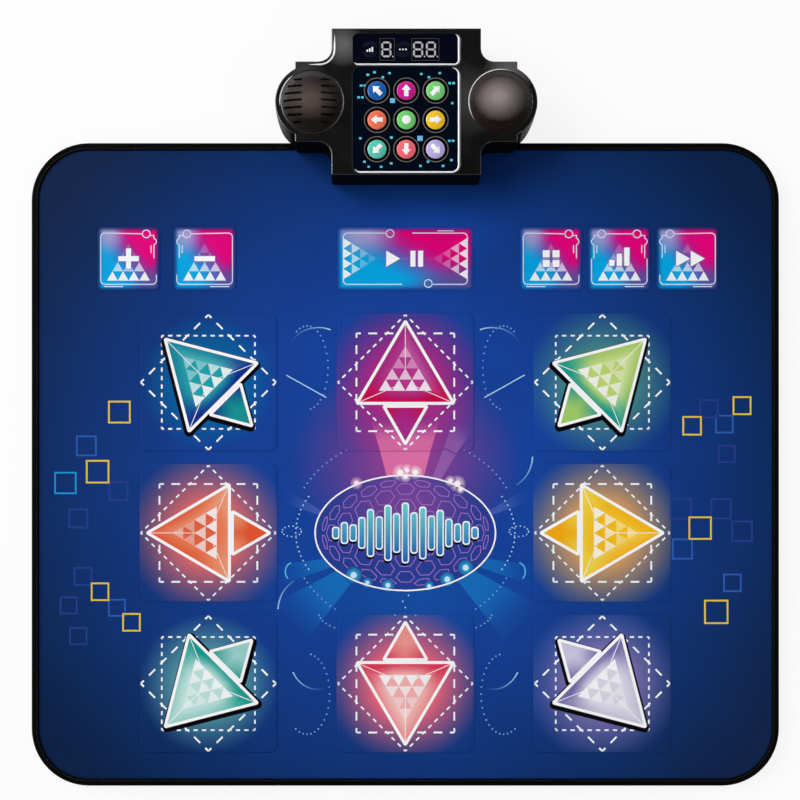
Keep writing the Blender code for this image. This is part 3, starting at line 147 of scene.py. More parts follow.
class Shader(Tree):
    """A Principled material with the few nodes that each finish here is made of."""

    def __init__(self, name, roughness=0.5, metallic=0.0, specular=0.5):
        self.material = bpy.data.materials.new(name)
        self.material.use_nodes = True
        super().__init__(self.material.node_tree)
        self.shader = self.nodes["Principled BSDF"]
        self.set("Roughness", roughness)
        self.set("Metallic", metallic)
        self.set("Specular IOR Level", specular)
        self.places = self.nodes.new("ShaderNodeTexCoord").outputs
        self.height = None

    def set(self, socket, value):
        self.shader.inputs[socket].default_value = value

    def link(self, value, socket):
        self.links.new(value, self.shader.inputs[socket])

    def noise(self, scale, detail=3.0, stretch=(1, 1, 1)):
        place = self.node("ShaderNodeMapping", {"Vector": self.places["Object"], "Scale": stretch})
        inputs = {"Vector": place, "Scale": scale, "Detail": detail, "Roughness": 0.55}
        return self.node("ShaderNodeTexNoise", inputs, "Fac")

    def cells(self, scale, feature="F1"):
        inputs = {"Vector": self.places["Object"], "Scale": scale}
        return self.node("ShaderNodeTexVoronoi", inputs, "Distance", feature=feature)

    def wave(self, scale, direction, place=None, distortion=0.0):
        inputs = {"Vector": place or self.places["Object"], "Scale": scale, "Distortion": distortion}
        return self.node("ShaderNodeTexWave", inputs, "Fac", bands_direction=direction)

    def mix(self, factor, a, b, kind="MIX"):
        # Either colour is a node's output, or display values from 0 to 255
        a, b = (c if isinstance(c, bpy.types.NodeSocket) else (*linear(c), 1.0) for c in (a, b))
        return self.node("ShaderNodeMix", {0: factor, 6: a, 7: b}, 2, data_type="RGBA", blend_type=kind)

    def mottled(self, dark, pale, scale):
        return self.mix(self.spread(self.noise(scale), 0.3, 0.7), dark, pale)

    def colour(self, value):
        self.link(value, "Base Color")

    def rough(self, value, low, high):
        self.link(self.spread(value, 0.3, 0.7, low, high), "Roughness")

    def bump(self, value, distance, strength=1.0):
        inputs = {"Height": value, "Distance": distance, "Strength": strength}
        if self.height is not None:
            inputs["Normal"] = self.height
        self.height = self.node("ShaderNodeBump", inputs)
        self.link(self.height, "Normal")


def printed_vinyl():
    # The print is a colour attribute, under the fine pebble of calendered PVC and a little wear
    s = Shader("printed_vinyl", specular=0.03)
    ink = s.node("ShaderNodeAttribute", output="Color", attribute_name="print")
    cloud = s.spread(s.noise(9, 4), 0.3, 0.7, 0.94, 1.04)
    grain = s.spread(s.noise(2600, 2), 0.3, 0.7, 0.96, 1.03)
    tone = dict.fromkeys(("Red", "Green", "Blue"), s.math("MULTIPLY", cloud, grain))
    s.colour(s.mix(1.0, ink, s.node("ShaderNodeCombineColor", tone), "MULTIPLY"))
    s.rough(s.noise(24, 5), 0.42, 0.54)
    s.bump(s.cells(1500, "SMOOTH_F1"), 0.00003, 0.6)
    s.bump(s.noise(160, 3), 0.00006, 0.5)
    return s.material


def moulded(name, colour, roughness, grain=1900, depth=0.00002, specular=0.5):
    # Moulded plastic with spark-eroded texture, a faint flow mottle and slight handling marks
    s = Shader(name, specular=specular)
    dark = mixed((0, 0, 0), colour, 0.85)
    s.colour(s.mix(s.spread(s.noise(45, 4), 0.35, 0.65), dark, colour))
    s.rough(s.noise(60, 5), roughness - 0.04, roughness + 0.05)
    s.bump(s.noise(grain, 2), depth, 0.7)
    return s.material


# Painted sheen: soft paler areas of the housing's top that stand for its reflection: place as shares of its box,
# radius, strength
PAINTED_SHEEN_PATCHES = (
    (0.262, 0.880, 0.085, 0.85), (0.735, 0.510, 0.150, 0.26),
    (0.888, 0.700, 0.100, 0.75), (0.112, 0.700, 0.080, 0.25),
)


# The painted highlight on the lip of each cover's opening: the cover, the way its middle lies, and its half chord in
# radii
PAINTED_LIP_HIGHLIGHTS = (("speaker_grille", (-0.92, 0.39), 0.55), ("dome_cap", (-0.80, 0.60), 1.20))
LIP_RADIUS, LIP_HALF = 0.0381, 0.0007
EDGE_RADIUS = 0.0022
# The walls' colour, darker as painted shade, the top's colour, the paler colour of the painted sheen, and the white of
# the painted lip highlights
SHADED_WALL, TOP, PAINTED_SHEEN_PALE, PAINTED_HIGHLIGHT_WHITE = (5, 5, 6), (11, 11, 12), (104, 104, 105), (222, 226, 228)


def housing_plastic():
    # Satin black, matt down the walls and painted darker there as shade, with painted sheen as paler patches on the
    # top, and painted highlights as bright arcs along the lips of the covers' openings
    s = Shader("satin_black_plastic", specular=0.16)
    span = console_high - console_low

    def reach_from(x, y):
        # Distance on the plan from a place in the box, in widths of the box
        offset = s.vector("SUBTRACT", s.places["Generated"], (x, y, 1.0))
        return s.vector("LENGTH", s.vector("MULTIPLY", offset, (1.0, span.y / span.x, 0.0)), output="Value")

    # Painted sheen: soft paler patches on the top
    painted_sheen = 0.0
    for x, y, radius, strength in PAINTED_SHEEN_PATCHES:
        painted_sheen = s.math("ADD", painted_sheen, s.spread(reach_from(x, y), radius, radius * 0.15, 0.0, strength))
    mottle = s.spread(s.noise(45, 4), 0.35, 0.65, -0.02, 0.02)
    top = s.mix(s.math("ADD", painted_sheen, mottle), TOP, PAINTED_SHEEN_PALE)
    # Painted highlight: a bright arc along the lip of each cover's opening
    lip_highlight, half, ring = 0.0, LIP_HALF / span.x, LIP_RADIUS / span.x
    for cover, way, chord in PAINTED_LIP_HIGHLIGHTS:
        low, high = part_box(cover)
        place = (low + high) / 2 - console_low
        x, y = place.x / span.x, place.y / span.y
        off = s.math("ABSOLUTE", s.math("SUBTRACT", reach_from(x, y), ring))
        near = reach_from(x + way[0] * ring, y + way[1] * ring * span.x / span.y)
        line, length = s.spread(off, 1.3 * half, 0.7 * half), s.spread(near, chord * ring, 0.7 * chord * ring)
        lip_highlight = s.math("ADD", lip_highlight, s.math("MULTIPLY", line, length))
    # Painted shade: faces that turn away from upward take the darker wall colour, and they are also less glossy
    upward = s.spread(s.part(s.places["Normal"], "Z"), 0.35, 0.85)
    s.colour(s.mix(upward, SHADED_WALL, s.mix(lip_highlight, top, PAINTED_HIGHLIGHT_WHITE)))
    s.link(s.spread(upward, 0.0, 1.0, 0.05, 0.16), "Specular IOR Level")
    # A lacquer on the rounded edges alone, which catches the light
    rounded = s.node("ShaderNodeBevel", {"Radius": EDGE_RADIUS}, samples=6)
    slope = s.part(rounded, "Z")
    s.link(s.math("MULTIPLY", s.spread(slope, 0.98, 0.90), s.spread(slope, 0.15, 0.35)), "Coat Weight")
    s.set("Coat Roughness", 0.16)
    s.link(rounded, "Coat Normal")
    s.rough(s.noise(60, 5), 0.34, 0.44)
    s.bump(s.noise(1900, 2), 0.00002, 0.7)
    return s.material


def gloss(name, colour):
    # Polished plastic with hairline scuffs in its lacquer
    s = Shader(name, specular=0.2)
    s.set("Coat Weight", 0.08)
    s.set("Coat Roughness", 0.06)
    s.colour(s.mottled(mixed((0, 0, 0), colour, 0.8), colour, 30))
    s.rough(s.noise(900, 3, (1, 0.06, 1)), 0.12, 0.17)
    s.bump(s.noise(120, 2), 0.00001, 0.3)
    return s.material


def painted_highlight_gloss(name, crest, rim, offset, squash, reach, shine):
    # Tinted gloss plastic under a thin coat, with a painted highlight: pale at the crest of a round cover and darker
    # towards its rim
    s = Shader(name, roughness=0.3, specular=shine)
    s.set("Coat Weight", shine)
    s.set("Coat Roughness", 0.1)
    from_crest = s.vector("SUBTRACT", s.places["Generated"], (0.5 + offset[0], 0.5 + offset[1], 0.0))
    radius = s.vector("LENGTH", s.vector("MULTIPLY", from_crest, (*squash, 0.0)), output="Value")
    cloud = s.spread(s.noise(300, 3), 0.3, 0.7, -0.03, 0.03)
    # Painted highlight: the crest's pale colour fades to the rim's dark one with distance from the crest
    s.colour(s.mix(s.math("ADD", s.spread(radius, *reach), cloud), crest, rim))
    s.rough(s.noise(400, 3), 0.28, 0.36)
    s.bump(s.noise(900, 2), 0.00001, 0.5)
    return s.material


def metal(name, colour, roughness):
    # Zinc plate with turning marks and small spangles
    s = Shader(name, metallic=1.0)
    s.colour(s.mix(s.cells(900), colour, mixed((0, 0, 0), colour, 0.8)))
    s.rough(s.noise(700, 3, (1, 1, 0.1)), roughness - 0.05, roughness + 0.12)
    s.bump(s.noise(2200, 2), 0.00001)
    return s.material


def woven(name, thread, gap):
    # Webbing: raised ribs across the tape and finer yarns along it, laid out along its own map
    s = Shader(name, roughness=0.9, specular=0.03)
    tape = s.node("ShaderNodeUVMap", output="UV")
    pitch = 0.0009
    weave = s.math("MULTIPLY", s.wave(0.5 / pitch, "X", tape), s.wave(0.8 / pitch, "Y", tape))
    s.colour(s.mix(s.spread(weave, 0.1, 0.8), gap, thread))
    s.bump(weave, 0.00012, 0.8)
    s.bump(s.noise(2500, 3), 0.00004)
    return s.material


def anti_slip():
    # Plain-woven backing cloth with a light fluff
    s = Shader("anti_slip_cloth", roughness=0.95, specular=0.1)
    weave = s.math("ADD", s.wave(420, "X"), s.wave(420, "Y"))
    s.colour(s.mix(s.spread(weave, 0.4, 1.6), (22, 22, 24), (52, 52, 56)))
    s.bump(weave, 0.00008)
    s.bump(s.noise(1500, 4), 0.00005)
    return s.material


def foam():
    # Fine cells, darker between them
    s = Shader("open_cell_foam", roughness=0.98, specular=0.08)
    cell = s.cells(1300)
    s.colour(s.mix(s.spread(cell, 0.1, 0.7), (78, 78, 80), (38, 38, 40)))
    s.bump(cell, 0.0002)
    return s.material


def circuit_board():
    # Solder mask over copper tracks, with the tracks in a slightly lighter green
    s = Shader("solder_mask", roughness=0.35)
    inputs = {"Vector": s.places["Object"], "Scale": 160.0, "Mortar Size": 0.03}
    tracks = s.node("ShaderNodeTexBrick", inputs, "Fac")
    s.colour(s.mix(tracks, (18, 92, 52), (44, 138, 84)))
    s.rough(s.noise(200, 3), 0.30, 0.42)
    s.bump(tracks, 0.00003)
    return s.material


def tracked_film():
    # Clear polyester with silver-ink tracks
    s = Shader("tracked_film", roughness=0.32)
    tracks = s.spread(s.wave(90, "X", distortion=1.5), 0.8, 0.9)
    s.colour(s.mix(tracks, (176, 182, 190), (112, 116, 122)))
    s.rough(s.noise(50, 3), 0.28, 0.40)
    s.bump(tracks, 0.00001)
    return s.material


def cell_wrap():
    # A battery's printed sleeve: a dark green wrap with a pale band at one end
    s = Shader("cell_wrap", roughness=0.3, metallic=0.3)
    band = s.spread(s.part(s.places["Object"], "X"), 0.012, 0.0125)
    s.colour(s.mix(band, (40, 92, 66), (206, 200, 176)))
    s.rough(s.noise(300, 3), 0.25, 0.38)
    s.bump(s.noise(500, 2), 0.00001)
    return s.material


VINYL = printed_vinyl()
CONSOLE_BLACK = housing_plastic()
BASE_BLACK = moulded("base_black_plastic", (6, 6, 7), 0.55, specular=0.04)
FINISHES = {
    "console_top_shell": CONSOLE_BLACK,
    "console_bottom_shell": BASE_BLACK,
    "battery_door": BASE_BLACK,
    "contact_film": tracked_film(),
    "main_board": circuit_board(),
    "level_digit_module": moulded("digit_body", (40, 40, 44), 0.4),
    "display_window": gloss("smoked_window", (7, 9, 26)),
    "indicator_panel": gloss("panel_print", (3, 12, 27)),
    "speaker_grille": painted_highlight_gloss("grille_gloss", (84, 72, 68), (24, 18, 16), (0, 0), (1.0, 1.3), (0.10, 0.42), 0.4),
    "dome_cap": painted_highlight_gloss(
        "dome_gloss", (146, 135, 133), (28, 19, 18), (-0.01, 0.01), (1.10, 1.25), (0.06, 0.46), 0.08
    ),
    "speaker_driver": metal("speaker_steel", (110, 112, 118), 0.45),
    "power_switch_body": moulded("switch_body", (60, 60, 62), 0.5),
    "power_switch_knob": moulded("switch_knob", (34, 34, 36), 0.45),
    "ribbon_connector": moulded("connector_plastic", (226, 222, 210), 0.45),
    "battery_": cell_wrap(),
    "battery_contact": metal("contact_plate", (196, 198, 204), 0.3),
    "housing_screw": metal("zinc_screw", (180, 182, 188), 0.35),
    "rubber_foot": moulded("foot_rubber", (24, 24, 24), 0.8, 900, 0.00004, 0.2),
}
FINISHES["ribbon_tail"] = FINISHES["contact_film"]
FINISHES["score_digit_module"] = FINISHES["level_digit_module"]
FINISHES["mat_screw"] = FINISHES["housing_screw"]


def dress_nodes():
    # The longest key that a node's name starts with gives its finish
    for name, node in nodes.items():
        keys = [key for key in FINISHES if name.startswith(key)]
        if keys:
            node.data.materials.clear()
            node.data.materials.append(FINISHES[max(keys, key=len)])


# The print's ground colours

EMBLEM_X, EMBLEM_Y = 0.112, 0.0715
BRIGHT = (23, 67, 156)
NAVY = (11, 35, 74)


def ground(x, y):
    # A blue that is brightest round the emblem, with a violet glow above it and a cyan one below
    x, y = np.asarray(x, float), np.asarray(y, float)
    radius = np.hypot(x, y - FIELD_Y - 0.078)
    share = np.clip((radius - 0.18) / 0.36, 0, 1) ** 1.4
    colours = np.array(BRIGHT, float) + (np.array(NAVY, float) - BRIGHT) * share[..., None]
    violet = 1 - np.hypot(x / 0.1455, (y - FIELD_Y - 0.0905) / 0.128)
    colours = blended(colours, (172, 64, 148), violet)
    cyan = smooth(1 - np.hypot(x / 0.20, (y - FIELD_Y + 0.075) / 0.075))
    colours = blended(colours, (22, 92, 172), 0.45 * cyan)
    # Painted light: a little lighter by the console, where its shadow falls
    shaded = smooth(1 - np.hypot((x - 0.03) / 0.16, (y - FIELD_Y - 0.385) / 0.07))
    return colours * (1 + 0.22 * shaded[..., None])


# Each pad's glow: its colour, its strength, how far it reaches and over what length it fades
HALOS = {
    "up_left": ((0, 118, 165), 0.55, 0.085, 0.036),
    "up": ((188, 40, 132), 1.0, 0.104, 0.071),
    "up_right": ((98, 174, 134), 0.7, 0.0975, 0.060),
    "left": ((232, 108, 106), 1.0, 0.1035, 0.067),
    "right": ((226, 164, 96), 1.0, 0.1035, 0.067),
    "down_left": ((108, 184, 176), 0.75, 0.087, 0.048),
    "down": ((238, 102, 124), 1.0, 0.0995, 0.060),
    "down_right": ((138, 120, 180), 0.85, 0.099, 0.057),
}


def step_field(direction, centre):
    tint, strength, reach, fade = HALOS[direction]

    def field(x, y):
        radius = np.hypot(x - centre[0], y - centre[1])
        return blended(ground(x, y), tint, strength * np.clip((reach - radius) / fade, 0, 1))

    return field


CYAN, LAVENDER, MAGENTA, DUSK = (4, 164, 226), (172, 166, 212), (228, 2, 122), (88, 80, 152)
PAD_FADE = 0.0075


def function_field(centre, half_x, half_y):
    # Cyan to magenta across the pad, with lavender and dusk in two corners, fading into the ground at its edge
    def field(x, y):
        a, b = (x - centre[0]) / half_x, (y - centre[1]) / half_y
        colours = np.broadcast_to(np.array(CYAN, float), (*np.shape(a), 3))
        colours = blended(colours, MAGENTA, smooth((a + 0.9 * b + 0.70) / 1.5))
        colours = blended(colours, LAVENDER, 0.9 * smooth(1.05 - np.hypot((a + 0.62) / 0.62, (b - 0.80) / 0.85)))
        colours = blended(colours, DUSK, 0.9 * smooth((a - 1.2 * b - 0.70) / 0.9))
        share_x = smooth((half_x - np.abs(x - centre[0])) / PAD_FADE)
        share_y = smooth((half_y - np.abs(y - centre[1])) / PAD_FADE)
        return blended(ground(x, y), colours, share_x * share_y)

    return field


def plan(mesh):
    # The x and the y of every vertex
    return np.array([vertex.co.xy for vertex in mesh.vertices]).T


def paint(mesh, colours):
    # The print as a colour for each vertex
    values = np.ones((len(mesh.vertices), 4), np.float32)
    values[:, :3] = linear(colours)
    layer = mesh.attributes.new("print", "FLOAT_COLOR", "POINT")
    layer.data.foreach_set("color", values.ravel())


def add_piece(name, mesh, material, slot, body=ROOT):
    piece = bpy.data.objects.new(name, mesh)
    bpy.context.scene.collection.objects.link(piece)
    mesh.materials.append(material)
    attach(piece, body)
    return piece


def mesh_of(name, verts, faces):
    mesh = bpy.data.meshes.new(name)
    mesh.from_pydata(verts, [], faces)
    mesh.update()
    return mesh


def shade(mesh, angle):
    mesh.shade_smooth()
    mesh.set_sharp_from_angle(angle=math.radians(angle))


def arc(centre, radius, start, end, steps):
    angles = [math.radians(start + (end - start) * i / steps) for i in range(steps + 1)]
    return [(centre[0] + radius * math.cos(a), centre[1] + radius * math.sin(a)) for a in angles]


def circle(centre, radius, sides):
    return arc(centre, radius, 0, 360, sides)[:-1]


def between(a, b, steps):
    return [mixed(a, b, i / steps) for i in range(1, steps)]


def rounded_box(centre, half_x, half_y, corner, inset, arc_steps, side_steps):
    # A rounded rectangle, anticlockwise, whose insets all have the same number of points
    half_x, half_y = half_x - inset, half_y - inset
    corner = max(corner - inset, 0.00005)
    points = []
    for quarter, (sx, sy) in enumerate(QUARTERS):
        middle = (centre[0] + sx * (half_x - corner), centre[1] + sy * (half_y - corner))
        turn = arc(middle, corner, 90 * quarter, 90 * quarter + 90, arc_steps)
        if points:
            points += between(points[-1], turn[0], side_steps[(quarter + 1) % 2])
        points += turn
    return points + between(points[-1], points[0], side_steps[1])


def raised(outline, z):
    return [(x, y, z) for x, y in outline]


def add_tube(verts, faces, rings, closed=False):
    # A skin through rings with equal numbers of places, capped at both ends or closed on itself
    start, size = len(verts), len(rings[0])
    verts += [place for ring in rings for place in ring]
    firsts = [start + size * i for i in range(len(rings))]
    for low, high in zip(firsts, firsts[1:] + firsts[:1] * closed):
        for i in range(size):
            j = (i + 1) % size
            faces.append((low + i, low + j, high + j, high + i))
    if not closed:
        faces.append(tuple(range(start + size - 1, start - 1, -1)))
        faces.append(tuple(range(firsts[-1], firsts[-1] + size)))


def ring_mesh(name, rings, closed=False):
    # A skin through outlines, each with its height
    verts, faces = [], []
    add_tube(verts, faces, [raised(outline, z) for outline, z in rings], closed)
    return mesh_of(name, verts, faces)


# Pads

PADS = {name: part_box(name) for name in nodes if name.endswith("_pad") or name.startswith("step_pad")}


def middle_of(name):
    # The middle of a CAD node's box on the plan
    low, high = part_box(name)
    return (low.x + high.x) / 2, (low.y + high.y) / 2


def pad_place(name):
    low, high = PADS[name]
    corner = STEP_CORNER if name.startswith("step") else FUNCTION_CORNER
    return middle_of(name), (high.x - low.x) / 2, (high.y - low.y) / 2, corner


def pad_height(inset):
    # The face is flat, and rolls down a little towards the welded edge
    return FACE + PAD_PROUD - PAD_FALL * max(0.0, 1 - inset / PAD_FALL_REACH) ** 2


def make_pad(name, field, slot):
    centre, half_x, half_y, corner = pad_place(name)
    steps = (math.ceil(half_x / PAD_STEP), math.ceil(half_y / PAD_STEP))

    def outline(inset):
        return rounded_box(centre, half_x, half_y, corner, inset - PAD_FIT, 6, steps)

    low, shoulder = PADS[name][0].z, FACE - PAD_THICKNESS
    rings = [(outline(PUCK_MARGIN), low), (outline(PUCK_MARGIN), shoulder), (outline(0.0), shoulder)]
    for x, z in arc((0, 0), 1, 0, 90, 4)[:-1]:
        rings.append((outline(PAD_EDGE * (1 - x)), pad_height(PAD_EDGE) - PAD_EDGE * (1 - z)))
    inset, limit = PAD_EDGE, min(half_x, half_y) - PAD_MIDDLE
    while inset < limit:
        rings.append((outline(inset), pad_height(inset)))
        inset += PAD_STEP if inset < PAD_FINE_REACH else 2 * PAD_STEP
    rings.append((outline(limit), pad_height(limit)))
    mesh = ring_mesh(name + "_cushion", rings)
    paint(mesh, field(*plan(mesh)))
    shade(mesh, 60)
    pad = add_piece(name + "_cushion", mesh, VINYL, slot, name + "_body")
    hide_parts(name)


# Cover


def spaced(stops, step):
    # The stops in order, with even places between any two that lie further apart than a step
    stops = sorted({round(stop, 6) for stop in stops})
    places = stops[:1]
    for low, high in zip(stops, stops[1:]):
        count = max(1, math.ceil((high - low) / step))
        places += [round(low + (high - low) * i / count, 6) for i in range(1, count + 1)]
    return places


def trim_corner(shape, centre, radius, sx, sy):
    # The sheet's corner cut to its curve, a short straight at a time
    bend = [(centre[0] + sx * x, centre[1] + sy * y) for x, y in arc((0, 0), radius, 0, 90, 12)]
    for (ax, ay), (bx, by) in zip(bend, bend[1:]):
        outward = Vector(((ax + bx) / 2 - centre[0], (ay + by) / 2 - centre[1], 0)).normalized()
        geometry = shape.verts[:] + shape.edges[:] + shape.faces[:]
        bmesh.ops.bisect_plane(shape, geom=geometry, plane_co=(ax, ay, FACE), plane_no=outward, clear_outer=True)


def cover_shape(half_x, half_y, openings):
    # A flat sheet on a grid that passes through the sides of each opening, with the openings' corners filled in
    stops_x, stops_y = [-half_x, half_x], [MAT_Y - half_y, MAT_Y + half_y]
    for x, y, hx, hy, corner in openings:
        stops_x += [x + side * reach for side in (-1, 1) for reach in (hx, hx - corner)]
        stops_y += [y + side * reach for side in (-1, 1) for reach in (hy, hy - corner)]
    xs, ys = spaced(stops_x, COVER_STEP), spaced(stops_y, COVER_STEP)
    column, row = {x: i for i, x in enumerate(xs)}, {y: i for i, y in enumerate(ys)}
    shape = bmesh.new()
    grid = [[shape.verts.new((x, y, FACE)) for y in ys] for x in xs]
    for i, (x0, x1) in enumerate(zip(xs, xs[1:])):
        for j, (y0, y1) in enumerate(zip(ys, ys[1:])):
            x, y = (x0 + x1) / 2, (y0 + y1) / 2
            if not any(abs(x - ox) < hx and abs(y - oy) < hy for ox, oy, hx, hy, _corner in openings):
                shape.faces.new((grid[i][j], grid[i + 1][j], grid[i + 1][j + 1], grid[i][j + 1]))
    for x, y, hx, hy, corner in openings:
        for sx, sy in QUARTERS:
            i0, i1 = column[round(x + sx * (hx - corner), 6)], column[round(x + sx * hx, 6)]
            j0, j1 = row[round(y + sy * (hy - corner), 6)], row[round(y + sy * hy, 6)]
            leg = [grid[i][j1] for i in range(i0, i1, sx)] + [grid[i1][j] for j in range(j1, j0 - sy, -sy)]
            centre = (x + sx * (hx - corner), y + sy * (hy - corner))
            start, end = (0, 90 * sy) if sx > 0 else (180, 180 - 90 * sy)
            bend = [shape.verts.new((px, py, FACE)) for px, py in arc(centre, corner, start, end, 6)[1:-1]]
            shape.faces.new(leg + bend)
    return shape


def make_cover():
    # The printed sheet, with an opening a little wider than each pad
    half_x, half_y = MAT_HALF_X - COVER_INSET, MAT_HALF_Y - COVER_INSET
    openings = []
    for name in PADS:
        (x, y), hx, hy, corner = pad_place(name)
        openings.append((x, y, hx + PAD_GAP, hy + PAD_GAP, corner + PAD_GAP))
    shape = cover_shape(half_x, half_y, openings)
    radius = MAT_CORNER - COVER_INSET
    for sx, sy in QUARTERS:
        trim_corner(shape, (sx * (half_x - radius), MAT_Y + sy * (half_y - radius)), radius, sx, sy)
    loose = [v for v in shape.verts if not v.link_faces]
    bmesh.ops.delete(shape, geom=loose, context="VERTS")
    bmesh.ops.recalc_face_normals(shape, faces=shape.faces)
    if shape.faces[0].normal.z < 0:
        bmesh.ops.reverse_faces(shape, faces=shape.faces)
    made = bmesh.ops.extrude_face_region(shape, geom=shape.faces[:])
    under = [item for item in made["geom"] if isinstance(item, bmesh.types.BMVert)]
    bmesh.ops.translate(shape, vec=(0, 0, cover_low.z - FACE), verts=under)
    bmesh.ops.recalc_face_normals(shape, faces=shape.faces)
    mesh = bpy.data.meshes.new("printed_cover")
    shape.to_mesh(mesh)
    shape.free()
    paint(mesh, ground(*plan(mesh)))
    cover = add_piece("printed_cover", mesh, VINYL, "printed vinyl")
    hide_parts("top_cover")


# Printed figures


def each(colour, count):
    # Colours for so many points, from one for them all or a list of them
    return colour if isinstance(colour, list) else [colour] * count


class Print:
    """Inks on a face. Each is a closed sliver that stands a few hundredths of a millimetre proud."""

    def __init__(self, face=FACE + PAD_PROUD):
        self.face = face
        self.verts, self.faces, self.colours = [], [], []

    def levels(self, layer):
        return self.face - ROOT_DEPTH, self.face + layer * INK

    def area(self, points, colour, layer):
        # One filled outline, in one colour or one for each point
        colours = each(colour, len(points))
        if turning(points) < 0:
            points, colours = points[::-1], colours[::-1]
        self.colours += colours + colours
        add_tube(self.verts, self.faces, [raised(points, z) for z in self.levels(layer)])

    def band(self, path, width, colour, layer, closed=False):
        # A line of even width along a path, mitred at its corners
        count = len(path)
        left, right = [], []
        for i, (x, y) in enumerate(path):
            before = path[i - 1] if closed or i else None
            after = path[(i + 1) % count] if closed or i < count - 1 else None
            along = [unit(before, (x, y))] if before else []
            along += [unit((x, y), after)] if after else []
            normal = unit((0, 0), (-sum(a[1] for a in along), sum(a[0] for a in along)))
            cosine = normal[0] * -along[0][1] + normal[1] * along[0][0]
            reach = width / 2 / max(cosine, 0.35)
            left.append((x + normal[0] * reach, y + normal[1] * reach))
            right.append((x - normal[0] * reach, y - normal[1] * reach))
        self.colours += [tint for tint in each(colour, count) for _corner in range(4)]
        low, high = self.levels(layer)
        rings = [[(*a, low), (*a, high), (*b, high), (*b, low)] for a, b in zip(left, right)]
        add_tube(self.verts, self.faces, rings, closed)

    def spot(self, centre, rim, inner, outer, layer):
        # A glow from one colour at its middle to others along its rim
        start, sides = len(self.verts), len(rim)
        low, high = self.levels(layer)
        self.verts += raised(rim, low) + raised(rim, high) + [(*centre, high)]
        self.colours += outer * 2 + [inner]
        self.faces.append(tuple(range(start + sides - 1, start - 1, -1)))
        for i in range(sides):
            j = (i + 1) % sides
            self.faces.append((start + i, start + j, start + sides + j, start + sides + i))
            self.faces.append((start + sides + i, start + sides + j, start + 2 * sides))

    def disc(self, centre, halves, field, layer, sides, rings):
        # An oval whose face is fine enough to carry a field of colours
        start = len(self.verts)
        low, high = self.levels(layer)
        places = [centre]
        for ring in range(1, rings + 1):
            places += ellipse(centre, halves[0] * ring / rings, halves[1] * ring / rings, sides)
        colours = [tuple(colour) for colour in field(*np.array(places).T)]
        edge = len(places) - sides
        self.verts += raised(places, high) + raised(places[edge:], low)
        self.colours += colours + colours[edge:]
        for i in range(sides):
            j = (i + 1) % sides
            self.faces.append((start, start + 1 + i, start + 1 + j))
            for ring in range(rings):
                a = start + 1 + ring * sides
                self.faces.append((a + i, a + sides + i, a + sides + j, a + j))
        self.faces.append(tuple(range(start + edge + 2 * sides - 1, start + edge + sides - 1, -1)))

    def dashes(self, a, b, count, share, width, colour, layer):
        # Dashes from one corner to the next, with half a dash at each corner
        for i in range(count + 1):
            ends = (max(0.0, (i - share / 2) / count), min(1.0, (i + share / 2) / count))
            self.band([mixed(a, b, end) for end in ends], width, colour, layer)

    def dots(self, path, radius, colour, layer, sides=12):
        for centre in path:
            self.area(circle(centre, radius, sides), colour, layer)

    def piece(self, name, slot, body=ROOT):
        mesh = mesh_of(name, self.verts, self.faces)
        paint(mesh, self.colours)
        add_piece(name, mesh, VINYL, slot, body)


def unit(a, b):
    dx, dy = b[0] - a[0], b[1] - a[1]
    length = math.hypot(dx, dy) or 1.0
    return dx / length, dy / length


def placed(points, centre, angle=0.0, scale=1.0):
    c, s = math.cos(math.radians(angle)) * scale, math.sin(math.radians(angle)) * scale
    return [(centre[0] + x * c - y * s, centre[1] + x * s + y * c) for x, y in points]


def rounded_path(corners, radius, steps=4):
    # A closed outline with each corner turned on a fillet
    points = []
    count = len(corners)
    for i, corner in enumerate(corners):
        to_last, to_next = unit(corner, corners[i - 1]), unit(corner, corners[(i + 1) % count])
        half = math.acos(max(-1, min(1, to_last[0] * to_next[0] + to_last[1] * to_next[1]))) / 2
        run = radius / math.tan(half)
        middle = unit((0, 0), (to_last[0] + to_next[0], to_last[1] + to_next[1]))
        centre = (corner[0] + middle[0] * radius / math.sin(half), corner[1] + middle[1] * radius / math.sin(half))
        first = (corner[0] + to_last[0] * run, corner[1] + to_last[1] * run)
        last = (corner[0] + to_next[0] * run, corner[1] + to_next[1] * run)
        for step in range(steps + 1):
            x, y = mixed(first, last, step / steps)
            out = unit(centre, (x, y))
            points.append((centre[0] + out[0] * radius, centre[1] + out[1] * radius))
    return points


def turning(points):
    # Twice the area inside an outline, above zero where it runs anticlockwise
    return sum(a[0] * b[1] - b[0] * a[1] for a, b in zip(points, points[1:] + points[:1]))


def grown(corners, amount):
    # A convex outline moved outwards by an even amount
    sign = 1 if turning(corners) > 0 else -1
    points = []
    for i, corner in enumerate(corners):
        back, ahead = unit(corners[i - 1], corner), unit(corner, corners[(i + 1) % len(corners)])
        normal = unit((0, 0), (sign * (back[1] + ahead[1]), -sign * (back[0] + ahead[0])))
        cosine = normal[0] * sign * back[1] - normal[1] * sign * back[0]
        points.append((corner[0] + normal[0] * amount / cosine, corner[1] + normal[1] * amount / cosine))
    return points


# The arrow, pointing up: its head and tail as the edges of their colour, inside the white line
HEAD = [(0.0, 0.0722), (-0.0568, -0.0243), (0.0568, -0.0243)]
TAIL = [(-0.0236, -0.0316), (0.0236, -0.0316), (0.0, -0.0728)]
HEAD_MIDDLE = (0.0, 0.0)
TAIL_GLOW = (0.0, -0.0490)
LINE, LINE_CORNER = 0.0037, 0.0026
BEVEL, BEVEL_RINGS, SIDE_STEPS, BEVEL_LIFT = 0.0138, 3, 6, 0.16
CREASE_SHARE, CREASE_WIDTH = 0.80, 0.0009

# How near white each row of the mosaic is, and how deep the tail's colour is at the places along its rim
MOSAIC_SHARES = (0.50, 0.42, 0.72, 0.90)
TAIL_SHARES = (1.0, 0.30, 1.0, 0.08, 0.08, 0.08)

